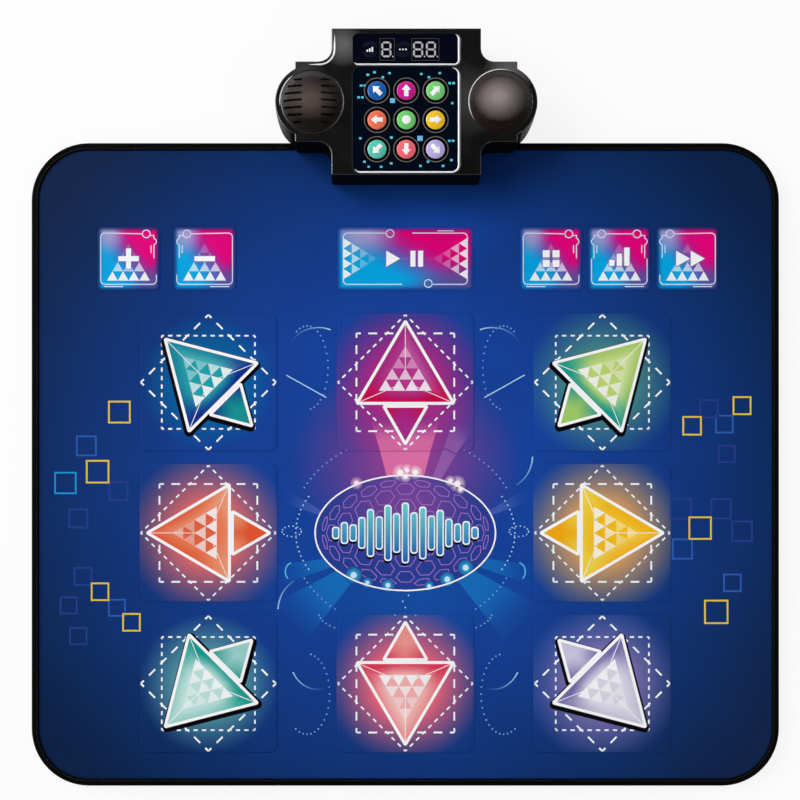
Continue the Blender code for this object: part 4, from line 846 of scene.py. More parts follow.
# Each arrow's turn and colours: the bevel's outer and inner edge, the base corners, the mosaic's ground, the tail
ARROWS = {
    "up": (0, (165, 42, 132), (182, 60, 142), (200, 8, 76), (188, 54, 142), (165, 44, 140)),
    "left": (90, (231, 97, 58), (236, 124, 88), (239, 154, 118), (232, 102, 68), (230, 84, 44)),
    "down": (180, (240, 146, 147), (242, 186, 182), (218, 56, 88), (244, 176, 175), (240, 153, 147)),
    "right": (270, (247, 178, 22), (244, 196, 44), (244, 212, 66), (247, 191, 22), (243, 168, 14)),
    "up_left": (45, (20, 132, 156), (46, 162, 172), (17, 44, 138), (30, 160, 170), (24, 152, 148)),
    "down_left": (135, (150, 208, 201), (194, 227, 223), (18, 154, 142), (190, 226, 220), (160, 214, 210)),
    "down_right": (225, (203, 199, 221), (224, 220, 237), (116, 106, 168), (220, 217, 232), (207, 203, 228)),
    "up_right": (315, (168, 204, 100), (202, 225, 144), (20, 156, 142), (194, 218, 114), (166, 207, 102)),
}


def bevel_tint(tones, x, y, depth, lift):
    # Deep at the base corners and along the base, paler towards the inner edge
    edge, inner, deep = tones
    rise = y - HEAD[1][1]
    corner = (0.045 - math.hypot(abs(x) - HEAD[2][0], rise)) / 0.035
    share = min(1.0, max(0.0, min(1.0, corner)) + max(0.0, 0.75 - 60 * rise))
    return mixed(mixed(mixed(edge, inner, depth), deep, share), WHITE, lift * depth)


# The black edge round each diagonal arrow: how far it reaches past the white line, and where it is moved to
SHADOW_REACH, SHADOW_CORNER = 0.0031, 0.0057
SHADOWS = {
    "up_left": (-0.0005, -0.0026), "down_left": (0.0015, -0.0021),
    "down_right": (-0.0003, -0.0024), "up_right": (-0.0005, -0.0027),
}


def triangles(top, half, rise, rows):
    # An upright triangle cut into rows of small ones, from its point down: each with its row
    wide, high = half / rows, rise / rows
    for row in range(rows):
        y = top - high * (row + 1)
        for k in range(row + 1):
            x = (2 * k - row) * wide
            yield row, [(x, y + high), (x - wide, y), (x + wide, y)]


def make_arrow(ink, direction, centre):
    turn, *tones, mosaic, tail = ARROWS[direction]
    inner, deep = tones[1:]

    def put(points, shift=(0.0, 0.0)):
        return placed(points, (centre[0] + shift[0], centre[1] + shift[1]), turn)

    if direction in SHADOWS:
        for shape, layer in ((TAIL, 1.9), (HEAD, 2)):
            edged = rounded_path(grown(shape, LINE + SHADOW_REACH), SHADOW_CORNER, 6)
            ink.area(put(edged, SHADOWS[direction]), BLACK, layer)
    for shape, layer in ((TAIL, 2.9), (HEAD, 3)):
        ink.area(put(rounded_path(grown(shape, LINE), LINE_CORNER)), WHITE, layer)
    # The head's bevel, as rings of small fields, and the mosaic inside it
    rings = [grown(HEAD, -BEVEL * ring / BEVEL_RINGS) for ring in range(BEVEL_RINGS + 1)]
    for ring in range(BEVEL_RINGS):
        for side in range(3):
            lift = BEVEL_LIFT if side == 2 else 0.0
            for step in range(SIDE_STEPS):
                corners, tints = [], []
                for inward, along in ((0, 0), (0, 1), (1, 1), (1, 0)):
                    line = rings[ring + inward]
                    x, y = mixed(line[side], line[(side + 1) % 3], (step + along) / SIDE_STEPS)
                    corners.append((x, y))
                    tints.append(bevel_tint(tones, x, y, (ring + inward) / BEVEL_RINGS, lift))
                ink.area(put(corners), tints, 4)
    apex, low, _low = rings[-1]
    ink.area(put(rings[-1]), mosaic, 4)
    for row, corners in triangles(apex[1], -low[0], apex[1] - low[1], len(MOSAIC_SHARES)):
        ink.area(put(corners), mixed(mosaic, WHITE, MOSAIC_SHARES[row]), 5)
    for corner in HEAD:
        crease = [corner, mixed(corner, HEAD_MIDDLE, CREASE_SHARE)]
        ink.band(put(crease), CREASE_WIDTH, mixed(WHITE, inner, 0.12), 6)
    # The tail glows from a point near its middle
    left, right, tip = TAIL
    rim = [left, mixed(left, right, 0.5), right, mixed(right, tip, 0.5), tip, mixed(tip, left, 0.5)]
    tints = [mixed(tail, deep, share) for share in TAIL_SHARES]
    for i in range(6):
        ink.area(put([rim[i - 1], rim[i], TAIL_GLOW]), [tints[i - 1], tints[i], tail], 4)


DASH_PALE = (240, 248, 250)


def dashed_frames(ink, centre, diagonal):
    # A dashed square and a dashed diamond round the arrow: long dashes on one and short on the other
    half = 0.0578 if diagonal else 0.0607
    square, diamond = bar(*centre, half, half), circle(centre, 0.0838, 4)
    for corners, long_dash, layer in ((square, not diagonal, 1), (diamond, diagonal, 1.5)):
        count, share, width = (6, 0.54, 0.0022) if long_dash else (11, 0.50, 0.0020)
        for a, b in zip(corners, corners[1:] + corners[:1]):
            ink.dashes(a, b, count, share, width, DASH_PALE, layer)


PINK, VIOLET = (228, 116, 168), (156, 104, 176)
BEAM_STEPS = 10


def beam(ink, foot, head, halves, tint, strength, loss=0.92, field=ground):
    # A soft-ended ray of light from one place to another, mixed into the ground that it lies on
    along = unit(foot, head)
    rows = []
    for i in range(BEAM_STEPS + 1):
        t = i / BEAM_STEPS
        x, y = mixed(foot, head, t)
        half = halves[0] + (halves[1] - halves[0]) * t
        fade = np.array(strength * (1 - smooth((t - 0.25) / 0.75) * loss))
        ends = [(x - along[1] * half * side, y + along[0] * half * side) for side in (-1, 1)]
        rows.append([(end, tuple(blended(field(*end), tint, fade))) for end in ends])
    for low, high in zip(rows, rows[1:]):
        places, tints = zip(*low, *high[::-1])
        ink.area(list(places), list(tints), 0.5)


# What tells the pads and the lenses apart in the names of their slots
COLOUR_NAMES = {
    "up_left": "blue", "up": "magenta", "up_right": "green",
    "left": "orange", "centre": "green", "right": "yellow",
    "down_left": "mint", "down": "coral", "down_right": "lavender",
}


def make_step_pads():
    for direction in ARROWS:
        name, slot = "step_pad_" + direction, COLOUR_NAMES[direction] + " step pad"
        centre = pad_place(name)[0]
        field = step_field(direction, centre)
        make_pad(name, field, slot)
        ink = Print()
        if direction == "up":
            beam(ink, (0.0, FIELD_Y + 0.1018), (0.0, FIELD_Y + 0.144), (0.0312, 0.0440), PINK, 0.84, 1.0, field)
            foot, head = (0.0557, FIELD_Y + 0.1022), (0.0722, FIELD_Y + 0.135)
            beam(ink, foot, head, (0.0086, 0.0130), VIOLET, 0.62, 1.0, field)
        dashed_frames(ink, centre, ARROWS[direction][0] % 90 != 0)
        make_arrow(ink, direction, centre)
        ink.piece(name + "_print", slot, name + "_body")


# Function pads

PYRAMID_SHARES = (0.20, 0.34, 0.68, 0.93)
NEON, NEON_WIDTH, NEON_RING, NEON_CORNER, NEON_DROP = (208, 226, 248), 0.0012, 0.0048, 0.005, 0.0028


def pyramid(ink, centre, turn, half, rise, field):
    # Small triangles stacked to a point, brightest in the lowest row
    for row, corners in triangles(rise / 2, half, rise, len(PYRAMID_SHARES)):
        corners = placed(corners, centre, turn)
        ink.area(corners, [mixed(tuple(field(*p)), WHITE, PYRAMID_SHARES[row]) for p in corners], 3)


def neon_line(ink, centre, points, closed=False, side=1):
    ink.band(placed([(side * x, y) for x, y in points], centre), NEON_WIDTH, NEON, 2, closed)


def neon_frame(ink, centre, half_x, half_y, sides):
    # A thin rounded frame. Its top line ends in a ring near each side named, with a stepped hook below the ring
    x, y, r, ring, step = half_x, half_y, NEON_CORNER, NEON_RING, 0.0030
    at = x - 0.0125
    corners = arc((-x + r, -y + r), r, 180, 270, 4) + arc((x - r, -y + r), r, 270, 360, 4)
    for side in sides:
        neon_line(ink, centre, circle((at, y - 0.001), ring, 18), True, side)
        hook = [(at + ring, y - step), (x - step, y - step), (x - step, y - 2 * step), (x, y - 3 * step)]
        hook += [(x, y - 4 * step), (x - step, y - 5 * step), (x - step, y * 0.02)]
        neon_line(ink, centre, hook, False, side)
        neon_line(ink, centre, [(x - 2.2 * step, y - 5 * step), (x - 2.2 * step, y * 0.22)], False, side)
    if len(sides) > 1:
        neon_line(ink, centre, [(-x, 0.0)] + corners + [(x, 0.0)])
        neon_line(ink, centre, [(-at + ring, y - 0.001), (at - ring, y - 0.001)])
    else:
        start = [(at - ring, y - 0.001)] + arc((-x + r, y - r), r, 90, 180, 4)
        neon_line(ink, centre, start + corners + [(x, -y + 0.012)], False, sides[0])
    neon_line(ink, centre, [(-x + 0.004, -y - NEON_DROP), (-x * 0.2, -y - NEON_DROP)], False, sides[0])


def split_frame(ink, centre, half_x, half_y):
    # The wide pad's frame: two bent lines that face each other, each ending in a ring
    x, y, r = half_x, half_y, NEON_CORNER
    left = arc((-x + r, y - r), r, 90, 180, 4) + arc((-x + r, -y + r), r, 180, 270, 4)
    right = arc((x - r, -y + r), r, 270, 360, 4) + arc((x - r, y - r), r, 0, 90, 4)
    neon_line(ink, centre, [(-0.0235, y)] + left + [(-0.0040, -y)])
    neon_line(ink, centre, [(0.0330, -y)] + right + [(0.0085, y)])
    neon_line(ink, centre, circle((-0.0190, y - 0.0005), NEON_RING, 18), True)
    neon_line(ink, centre, circle((0.0285, -y + 0.0010), NEON_RING, 18), True)
    neon_line(ink, centre, [(0.0400, y + NEON_DROP), (0.0600, y + NEON_DROP)])


def bar(x, y, half_x, half_y):
    return [(x + half_x, y + half_y), (x - half_x, y + half_y), (x - half_x, y - half_y), (x + half_x, y - half_y)]


def outlined(ink, shapes, centre):
    # A white sign with a violet edge under it, so that it reads on any colour
    edges = [rounded_path(grown(shape, 0.0010), 0.0009, 3) for shape in shapes]
    faces = [rounded_path(shape, 0.0005, 2) for shape in shapes]
    for paths, colour, layer in ((edges, (126, 104, 182), 4), (faces, WHITE, 5)):
        for path in paths:
            ink.area(placed(path, centre, 0, SIGN_SCALE), colour, layer)


SIGN_SCALE = 0.86
PLAY = [(-0.0085, 0.0115), (-0.0085, -0.0115), (0.0115, 0.0)]

# Each function pad's sign, and the sides on which its frame has a ring and a hook
SIGNS = {
    "volume_up_pad": ([bar(0, 0, 0.0148, 0.0036)] + [bar(0, y, 0.0036, 0.0056) for y in (0.0092, -0.0092)], (1,)),
    "volume_down_pad": ([bar(0, 0, 0.0148, 0.0036)], (-1,)),
    "start_pad": ([placed(PLAY, (-0.019, 0))] + [bar(x, 0, 0.0036, 0.0115) for x in (0.0110, 0.0220)], ()),
    "mode_pad": ([bar(x, y, 0.0050, 0.0050) for x in (-0.0070, 0.0070) for y in (-0.0070, 0.0070)], (1,)),
    "difficulty_pad": (
        [bar(x, rise - 0.0016, 0.0038, 0.0088 + rise) for x, rise in ((-0.0108, -0.0044), (0, 0), (0.0108, 0.0044))],
        (-1, 1),
    ),
    "demo_pad": ([placed(PLAY, (x, 0)) for x in (-0.008, 0.013)], (-1,)),
}


def make_function_pads():
    # A pad whose frame has no ring at its sides is the wide one
    frame_half_y = 0.0318
    for name, (sign, sides) in SIGNS.items():
        centre, half_x, half_y, _corner = pad_place(name)
        field = function_field(centre, half_x, half_y)
        make_pad(name, field, "function pad")
        ink = Print()
        if sides:
            pyramid(ink, (centre[0], centre[1] - 0.0042), 0, 0.0266, 0.0460, field)
            neon_frame(ink, centre, 0.0345, frame_half_y, sides)
        else:
            for side in (-1, 1):
                pyramid(ink, (centre[0] + side * 0.0560, centre[1]), side * 90, 0.0255, 0.0420, field)
            split_frame(ink, centre, 0.0770, frame_half_y)
        outlined(ink, sign, centre)
        ink.piece(name + "_print", "function pad", name + "_body")


# The rest of the mat's print


def ellipse(centre, a, b, sides=72, start=0.0, sweep=360.0):
    angles = [math.radians(start + sweep * i / sides) for i in range(sides + (sweep < 360))]
    return [(centre[0] + a * math.cos(t), centre[1] + b * math.sin(t)) for t in angles]


def emblem_field(x, y):
    # Blue, with a violet light in its upper part
    violet = smooth(1.15 - np.hypot(x / 0.095, (y - FIELD_Y - 0.035) / 0.075))
    return blended(np.broadcast_to(np.array((40, 62, 148), float), (*np.shape(x), 3)), (116, 68, 154), violet)


def hexagons(pitch, size):
    # The cells of a honeycomb over the oval, drawn together towards its rim as on a ball
    for column in range(-6, 7):
        for row in range(-5, 6):
            middle = (column * pitch * math.sqrt(0.75), (row + column % 2 / 2) * pitch)
            cell = placed(circle((0.0, 0.0), size, 6), middle)
            reaches = [math.hypot(x / EMBLEM_X, y / EMBLEM_Y) for x, y in [middle] + cell]
            if max(reaches) < 1.45:
                pulls = [math.sin(min(reach, 1.4) * 1.12) / reach if reach else 1.0 for reach in reaches[1:]]
                yield [(0.93 * x * pull, FIELD_Y + 0.93 * y * pull) for (x, y), pull in zip(cell, pulls)]


# The sound wave's bars: half heights from left to right
BARS = (
    0.006, 0.012, 0.009, 0.018, 0.028, 0.019, 0.033, 0.023, 0.036,
    0.024, 0.031, 0.020, 0.027, 0.016, 0.010, 0.013, 0.006,
)
BAR_PITCH, BAR_TOP, BAR_LOW = 0.0108, (104, 206, 214), (28, 98, 178)


def make_emblem(ink):
    # A plain oval with a sound wave drawn as upright bars, over a faint honeycomb
    centre = (0.0, FIELD_Y)
    ink.disc(centre, (EMBLEM_X, EMBLEM_Y), emblem_field, 1, 72, 8)
    for cell in hexagons(0.0315, 0.0132):
        ink.band(cell, 0.0008, (172, 124, 206), 2, closed=True)
    ink.band(ellipse(centre, EMBLEM_X, EMBLEM_Y), 0.0019, (248, 249, 252), 6, closed=True)
    for index, height in enumerate(BARS):
        x = (index - (len(BARS) - 1) / 2) * BAR_PITCH
        # A black edge that is moved down a little, a pale edge over it, and the bar itself
        for shift, down, colour, layer in ((-0.0006, 0.0028, BLACK, 3), (0.0, 0.0, (240, 248, 252), 4)):
            edge = bar(x + shift, FIELD_Y - down, 0.0047, height + 0.0018)
            ink.area(rounded_path(edge, 0.0036, 4), colour, layer)
        core = rounded_path(bar(x, FIELD_Y, 0.0030, height), 0.0024, 4)
        shares = [min(1.0, max(0.0, 0.5 + (y - FIELD_Y) / 0.06)) for _x, y in core]
        ink.area(core, [mixed(BAR_LOW, BAR_TOP, share) for share in shares], 5)


# The sparkles on the oval's line: angle, share of the oval's radius, size and colour
BLOOM, GLINT = (255, 228, 240), (40, 190, 236)
SPARKLES = (
    (93, 1.05, 0.0110, BLOOM), (89, 1.09, 0.0085, BLOOM), (84, 1.06, 0.0095, BLOOM), (90, 0.98, 0.0080, BLOOM),
    (56, 1.03, 0.0110, BLOOM), (61, 1.03, 0.0075, BLOOM), (51, 0.97, 0.0060, BLOOM),
    (122, 1.02, 0.0085, (240, 190, 222)), (232, 0.93, 0.0110, GLINT), (258, 0.93, 0.0085, GLINT),
    (244, 0.96, 0.0070, GLINT), (300, 0.93, 0.0100, GLINT), (318, 0.90, 0.0105, GLINT), (286, 0.96, 0.0065, GLINT),
)


def lit_ground(x, y):
    # The ground with the pink beam on it, and the oval's own colours inside the oval
    if math.hypot(x / EMBLEM_X, (y - FIELD_Y) / EMBLEM_Y) < 1:
        return tuple(emblem_field(x, y))
    beam_half = 0.0205 + (y - FIELD_Y - 0.060) * 0.26
    return tuple(blended(ground(x, y), PINK, np.array(0.92 if abs(x) < beam_half and y > FIELD_Y else 0.0)))


def make_sparkles(ink):
    # Small glows on the oval's line: white and pink above, cyan below
    for index, (angle, share, size, tint) in enumerate(SPARKLES):
        t, lift = math.radians(angle), 0.06 * index
        place = (EMBLEM_X * share * math.cos(t), FIELD_Y + EMBLEM_Y * share * math.sin(t))
        rim = circle(place, size, 24)
        ink.spot(place, rim, tint, [lit_ground(x, y) for x, y in rim], 5.0 + lift)
        ink.area(circle(place, size * 0.36, 14), mixed(tint, WHITE, 0.75), 7 + lift)


def make_beams(ink):
    blue, dusk = (24, 110, 188), (92, 110, 190)

    def ray(foot, head, *looks):
        beam(ink, (foot[0], FIELD_Y + foot[1]), (head[0], FIELD_Y + head[1]), *looks)

    ray((0.0, 0.060), (0.0, 0.1012), (0.0205, 0.0312), PINK, 0.92, 0.0)
    ray((0.0372, 0.0640), (0.0550, 0.1008), (0.0050, 0.0085), VIOLET, 0.75, 0.1)
    for side in (-1, 1):
        ray((side * 0.0700, -0.050), (side * 0.1420, -0.110), (0.0100, 0.0300), blue, 1.0)
        ray((side * 0.0900, -0.036), (side * 0.1560, -0.052), (0.0055, 0.0120), blue, 0.85)
        ray((side * 0.1040, 0.024), (side * 0.1500, 0.046), (0.0030, 0.0080), dusk, 0.55)


def swoosh(ink, path, width, colour, share, step):
    # A stroke that comes out of the ground along its path
    ink.band(path, width, [mixed(tuple(ground(*p)), colour, share + i * step) for i, p in enumerate(path)], 1)


def make_orbits(ink):
    # Dotted arcs round the emblem and a few fine strokes, kept between the pads
    dim, pale, dot = (120, 170, 224), (170, 214, 240), 0.0010

    def orbit(x, y, *shape):
        return ellipse((x, FIELD_Y + y), *shape)

    for start, sweep in ((28, 34), (118, 34), (208, 24), (308, 24)):
        ink.dots(orbit(0.0, 0.0, 0.1420, 0.1200, round(sweep * 0.32), start, sweep), dot, dim, 1)
    for side in (-1, 1):
        ink.dots(orbit(side * 0.122, 0.205, 0.026, 0.052, 20, 90 - 30 * side, 200 * side), dot, dim, 1)
        ink.dots(orbit(side * 0.122, -0.200, 0.028, 0.050, 20, 270 + 30 * side, -200 * side), dot, dim, 1)
        far = orbit(side * 0.108, 0.225, 0.036, 0.030, 14, 90 - 70 * side, 95 * side)
        swoosh(ink, far, 0.0014, pale, 0.0, 1 / 14)
        near = orbit(side * 0.110, -0.152, 0.034, 0.042, 14, 270 - 20 * side, 80 * side)
        swoosh(ink, near, 0.0014, pale, 0.0, 1 / 14)
        sweeping = orbit(side * 0.1180, side * 0.0960, 0.0400, 0.0420, 18, 210 + 90 * side, 58)
        swoosh(ink, sweeping, 0.0015, pale, 0.3, 1 / 26)
        ink.band([(side * 0.0980, FIELD_Y + 0.168), (side * 0.1480, FIELD_Y + 0.196)], 0.0013, pale, 1)
        ink.dots(orbit(side * 0.141, 0.002, 0.012, 0.0065, 13, 0, 350), dot * 0.85, pale, 1)
        ink.dots(orbit(0.0, 0.0, 0.1360, 0.0960, 16, 62 - 90 * side, 56), dot, pale, 1)
        ink.dots(orbit(side * 0.060, -0.098, 0.048, 0.024, 18, 190, 160), dot, dim, 1)
        hook = orbit(side * 0.1400, -0.0480, 0.0090, 0.0110, 10, 90 - 10 * side, -130 * side)
        ink.band(hook, 0.0017, (92, 184, 236), 2)
    for y in (0.006, 0.0135, 0.021):
        ink.dots([(0.004 * math.sin(y * 300), FIELD_Y - EMBLEM_Y - y)], dot, pale, 1)


# Small outlined squares in the side margins: offset from the play field's centre, half size and colour
GOLD, SKY, DIM, FAINT = (226, 196, 62), (32, 146, 214), (44, 92, 178), (40, 62, 142)
SQUARES = (
    (-0.3550, 0.1500, 0.0130, GOLD), (-0.3960, 0.1080, 0.0118, DIM), (-0.4220, 0.0620, 0.0128, SKY),
    (-0.3820, 0.0760, 0.0135, GOLD), (-0.3560, 0.0520, 0.0112, FAINT), (-0.4060, 0.0180, 0.0112, FAINT),
    (-0.4000, -0.0540, 0.0106, FAINT), (-0.3790, -0.0730, 0.0104, GOLD), (-0.4180, -0.0900, 0.0100, FAINT),
    (-0.3580, -0.0930, 0.0100, DIM), (-0.3400, -0.1110, 0.0104, GOLD), (-0.4060, -0.1280, 0.0102, FAINT),
    (0.3560, 0.1330, 0.0110, GOLD), (0.3770, 0.1540, 0.0108, FAINT), (0.3960, 0.1350, 0.0104, DIM),
    (0.4180, 0.1580, 0.0106, GOLD), (0.3990, 0.0980, 0.0100, FAINT), (0.3420, 0.0300, 0.0124, FAINT),
    (0.3660, 0.0060, 0.0134, GOLD), (0.3920, 0.0300, 0.0120, FAINT), (0.4180, 0.0020, 0.0122, FAINT),
    (0.3440, -0.0200, 0.0120, DIM), (0.4060, -0.0620, 0.0104, DIM), (0.3860, -0.0980, 0.0140, GOLD),
)


def make_squares(ink):
    for x, y, half, colour in SQUARES:
        ink.band(bar(x, FIELD_Y + y, half, half), 0.0021, colour, 1 + (colour == GOLD), closed=True)


def make_mat_print():
    ink = Print(FACE)
    make_beams(ink)
    make_emblem(ink)
    make_sparkles(ink)
    make_orbits(ink)
    make_squares(ink)
    ink.piece("mat_print", "printed vinyl")


# Binding, base and foam


def mat_outline(inset):
    return rounded_box((0.0, MAT_Y), MAT_HALF_X, MAT_HALF_Y, MAT_CORNER, inset, 16, (90, 76))


def side_lengths(path):
    return [math.dist(a, b) for a, b in zip(path, path[1:] + path[:1])]


def tape_profile(top):
    # The tape's section as insets and heights: its rolled outside, then its lining. Also how many are outside
    cut_z, inner, roll = FACE + 0.0003, 0.0010, 0.0032
    outer = [(BINDING_WIDTH, 0.0)]
    outer += [(roll + roll * x, top / 2 + top / 2 * y) for x, y in arc((0, 0), 1, 270, 90, 8)]
    outer += [(BINDING_WIDTH * 0.6, top), (BINDING_WIDTH - 0.0004, top - 0.0001), (BINDING_WIDTH, top - 0.0004)]
    lining = [
        (BINDING_WIDTH, cut_z), (inner + 0.002, cut_z), (inner, cut_z - 0.001),
        (inner, TAPE + 0.001), (inner + 0.002, TAPE), (BINDING_WIDTH, TAPE),
    ]
    return outer + lining, len(outer)


def lay_map(mesh, along, across):
    # The tape's own map in metres, along it and across it, which runs on past both of its seams
    count, layer = len(along) - 1, mesh.uv_layers.new(name="tape")
    for polygon in mesh.polygons:
        rows, columns = zip(*(divmod(mesh.loops[i].vertex_index, count) for i in polygon.loop_indices))
        for i, row, column in zip(polygon.loop_indices, rows, columns):
            u = along[-1] if column == 0 and max(columns) == count - 1 else along[column]
            v = across[-1] if row == 0 and max(rows) == len(across) - 2 else across[row]
            layer.data[i].uv = (u, v)


def make_binding():
    # Folded webbing with a rolled edge, its free edges a little wavy where the stitches draw them down
    profile, outside = tape_profile(mat_high.z)
    rings = [(mat_outline(inset), z) for inset, z in profile]
    outline = rings[0][0]
    mesh = ring_mesh("bound_edge", rings, closed=True)
    along = np.cumsum([0.0] + side_lengths(outline))
    lay_map(mesh, along, np.cumsum([0.0] + side_lengths(profile)))
    for vertex in mesh.vertices:
        row, column = divmod(vertex.index, len(outline))
        if profile[row][0] > BINDING_WIDTH * 0.9 and vertex.co.z > FACE and row < outside:
            vertex.co.z -= 0.00012 * (1 + math.sin(column * 2.6))
    shade(mesh, 50)
    binding = add_piece("bound_edge", mesh, woven("black_webbing", (7, 7, 8), (2, 2, 3)), "binding tape")
    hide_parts("edge_binding")


def along_path(path, pitch):
    # Places and directions at an even pitch along a closed path
    lengths = side_lengths(path)
    count = int(sum(lengths) / pitch)
    step, walked, index = sum(lengths) / count, 0.0, 0
    for number in range(count):
        target = number * step
        while walked + lengths[index] < target:
            walked += lengths[index]
            index += 1
        a, b = path[index], path[(index + 1) % len(path)]
        yield mixed(a, b, (target - walked) / lengths[index]), unit(a, b)


# The stitches: half a length, the radius, the pitch, and how far in from the tape's free edge they run
STITCH_HALF, STITCH_RADIUS, STITCH_PITCH, STITCH_INSET = 0.0015, 0.00026, 0.0042, 0.0022
# The stretch of the rear edge that the console hides
HIDDEN_HALF, HIDDEN_DEPTH = 0.145, 0.02
# Each ring of a stitch: its place as a share of the half length, its lift and its share of the radius
STITCH_RINGS = ((-1, -0.00022, 0.7), (-0.4, 0.00006, 1.0), (0.4, 0.00006, 1.0), (1, -0.00022, 0.7))


def make_stitches():
    # Lockstitches along the binding, none under the console: each a short round thread that dips at both ends
    verts, faces = [], []
    for (x, y), (dx, dy) in along_path(mat_outline(BINDING_WIDTH - STITCH_INSET), STITCH_PITCH):
        if y > MAT_Y + MAT_HALF_Y - HIDDEN_DEPTH and abs(x) < HIDDEN_HALF:
            continue
        rings = []
        for share, lift, size in STITCH_RINGS:
            px, py = x + dx * share * STITCH_HALF, y + dy * share * STITCH_HALF
            section = circle((0.0, 0.0), STITCH_RADIUS * size, 6)
            rings.append([(px - dy * out, py + dx * out, mat_high.z + lift + up * 0.6) for out, up in section])
        add_tube(verts, faces, rings)
    mesh = mesh_of("binding_stitches", verts, faces)
    shade(mesh, 80)
    thread = moulded("thread", (34, 34, 36), 0.6, 3000, 0.00003, 0.2)
    add_piece("binding_stitches", mesh, thread, "binding tape")


# The grip domes: their pitch, their radius, their height and the margin that they keep
GRIP_PITCH, GRIP_RADIUS, GRIP_RISE, GRIP_MARGIN = 0.024, 0.0022, 0.0003, 0.028


def make_base():
    # Backing cloth with rows of small grip domes that reach the floor
    low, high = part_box("base_cloth")
    half_x, half_y = (high.x - low.x) / 2, (high.y - low.y) / 2
    outline = rounded_box((0.0, MAT_Y), half_x, half_y, MAT_CORNER - BINDING_WIDTH, 0.0, 12, (40, 34))
    verts, faces = [], []
    add_tube(verts, faces, [raised(outline, low.z + GRIP_RISE), raised(outline, high.z)])
    columns, rows = int(half_x / GRIP_PITCH), int(half_y / GRIP_PITCH)
    for i in range(-columns, columns + 1):
        for j in range(-rows, rows + 1):
            x, y = i * GRIP_PITCH + (GRIP_PITCH / 2 if j % 2 else 0), j * GRIP_PITCH
            if abs(x) > half_x - GRIP_MARGIN or abs(y) > half_y - GRIP_MARGIN:
                continue
            tip, foot = (circle((x, MAT_Y + y), radius, 8) for radius in (GRIP_RADIUS * 0.55, GRIP_RADIUS))
            add_tube(verts, faces, [raised(tip, low.z), raised(foot, low.z + GRIP_RISE + 0.0001)])
    base = add_piece("backing_cloth", mesh_of("backing_cloth", verts, faces), anti_slip(), "base cloth")
    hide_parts("base_cloth")


# How much wider the pockets are made, how far in a pocket's corner reaches, and how far out its wall can be
POCKET_ROOM, POCKET_CORNER, POCKET_WALL = 0.0006, 0.0095, 0.001


def make_foam():
    # The foam spacer, whose pockets stand clear of the pads' corners, which are rounder here than in the CAD
    mesh = nodes["foam_core"].data.copy()
    mesh.materials.clear()
    for name in PADS:
        centre, half_x, half_y, _corner = pad_place(name)
        for vertex in mesh.vertices:
            along = [vertex.co[k] - centre[k] for k in range(2)]
            past = [abs(along[0]) - half_x, abs(along[1]) - half_y]
            if not -POCKET_CORNER < max(past) < POCKET_WALL:
                continue
            for k in range(2):
                if past[k] > -POCKET_CORNER:
                    vertex.co[k] += math.copysign(POCKET_ROOM, along[k])
    layer = add_piece("foam_layer", mesh, foam(), "foam")
    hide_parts("foam_core")


# Console details

LENS_PITCH = 0.035
LENS_RADIUS = 0.0112
LENS_TONES = {
    "up_left": (18, 88, 172), "up": (200, 22, 138), "up_right": (112, 202, 110),
    "left": (240, 108, 78), "centre": (104, 202, 104), "right": (240, 190, 28),
    "down_left": (84, 196, 176), "down": (242, 98, 112), "down_right": (182, 168, 224),
}
BLOCK_ARROW = [
    (0.0, 0.0072), (-0.0056, 0.0006), (-0.0026, 0.0006), (-0.0026, -0.0070),
    (0.0026, -0.0070), (0.0026, 0.0006), (0.0056, 0.0006),
]


def translucent(name, colour):
    # A lit indicator: clear tinted plastic over a diffuser
    s = Shader(name, roughness=0.2)
    s.set("Coat Weight", 0.5)
    s.set("Coat Roughness", 0.08)
    s.set("Emission Strength", 0.12)
    tint = s.mottled(mixed(colour, (0, 0, 0), 0.06), mixed(colour, WHITE, 0.06), 500)
    s.colour(tint)
    s.link(tint, "Emission Color")
    s.rough(s.noise(300, 3), 0.16, 0.26)
    s.bump(s.cells(1400), 0.00001, 0.5)
    return s.material


def turned(name, centre, profile, sides):
    # A solid of revolution: the profile runs from the axis at the top to the axis at the bottom
    verts, faces = [(*centre, profile[0][1])], []
    for radius, z in profile[1:-1]:
        verts += raised(circle(centre, radius, sides), z)
    verts.append((*centre, profile[-1][1]))
    last = len(verts) - 1 - sides
    for k in range(sides):
        j = (k + 1) % sides
        faces.append((0, 1 + k, 1 + j))
        for a in range(1, last, sides):
            faces.append((a + k, a + sides + k, a + sides + j, a + j))
        faces.append((last + k, last + sides, last + j))
    return mesh_of(name, verts, faces)


def make_lenses():
    # Each light: a crowned disc with a soft shoulder, down to its flange and guide
    inks = Print(0.0)
    radius, face = LENS_RADIUS, console_high.z
    for direction, colour in LENS_TONES.items():
        name = "indicator_lens_" + direction
        low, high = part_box(name)
        centre, crown = middle_of(name), high.z - face
        profile = [(0.0, high.z)]
        profile += [(radius * t, face + crown * (1 - t * t)) for t in (0.15, 0.3, 0.45, 0.6, 0.72, 0.82, 0.9, 0.95)]
        profile += [(radius * 0.985, face - 0.0001), (radius, face - 0.0004), (radius, face - 0.0031)]
        profile += [(radius + 0.0014, face - 0.0031), (radius + 0.0014, face - 0.0043)]
        profile += [(radius - 0.002, low.z), (0.0, low.z)]
        mesh = turned(name + "_light", centre, profile, 40)
        shade(mesh, 40)
        slot = COLOUR_NAMES[direction] + " lens"
        light = add_piece(name + "_light", mesh, translucent(name + "_tint", colour), slot)
        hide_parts(name)
        sign, turn = circle((0, 0), 0.0052, 24), 0
        if direction != "centre":
            sign, turn = BLOCK_ARROW, ARROWS[direction][0]
        cut_into(inks, placed(sign, centre, turn), WHITE, centre, crown)
    inks.piece("lens_signs", "display window")


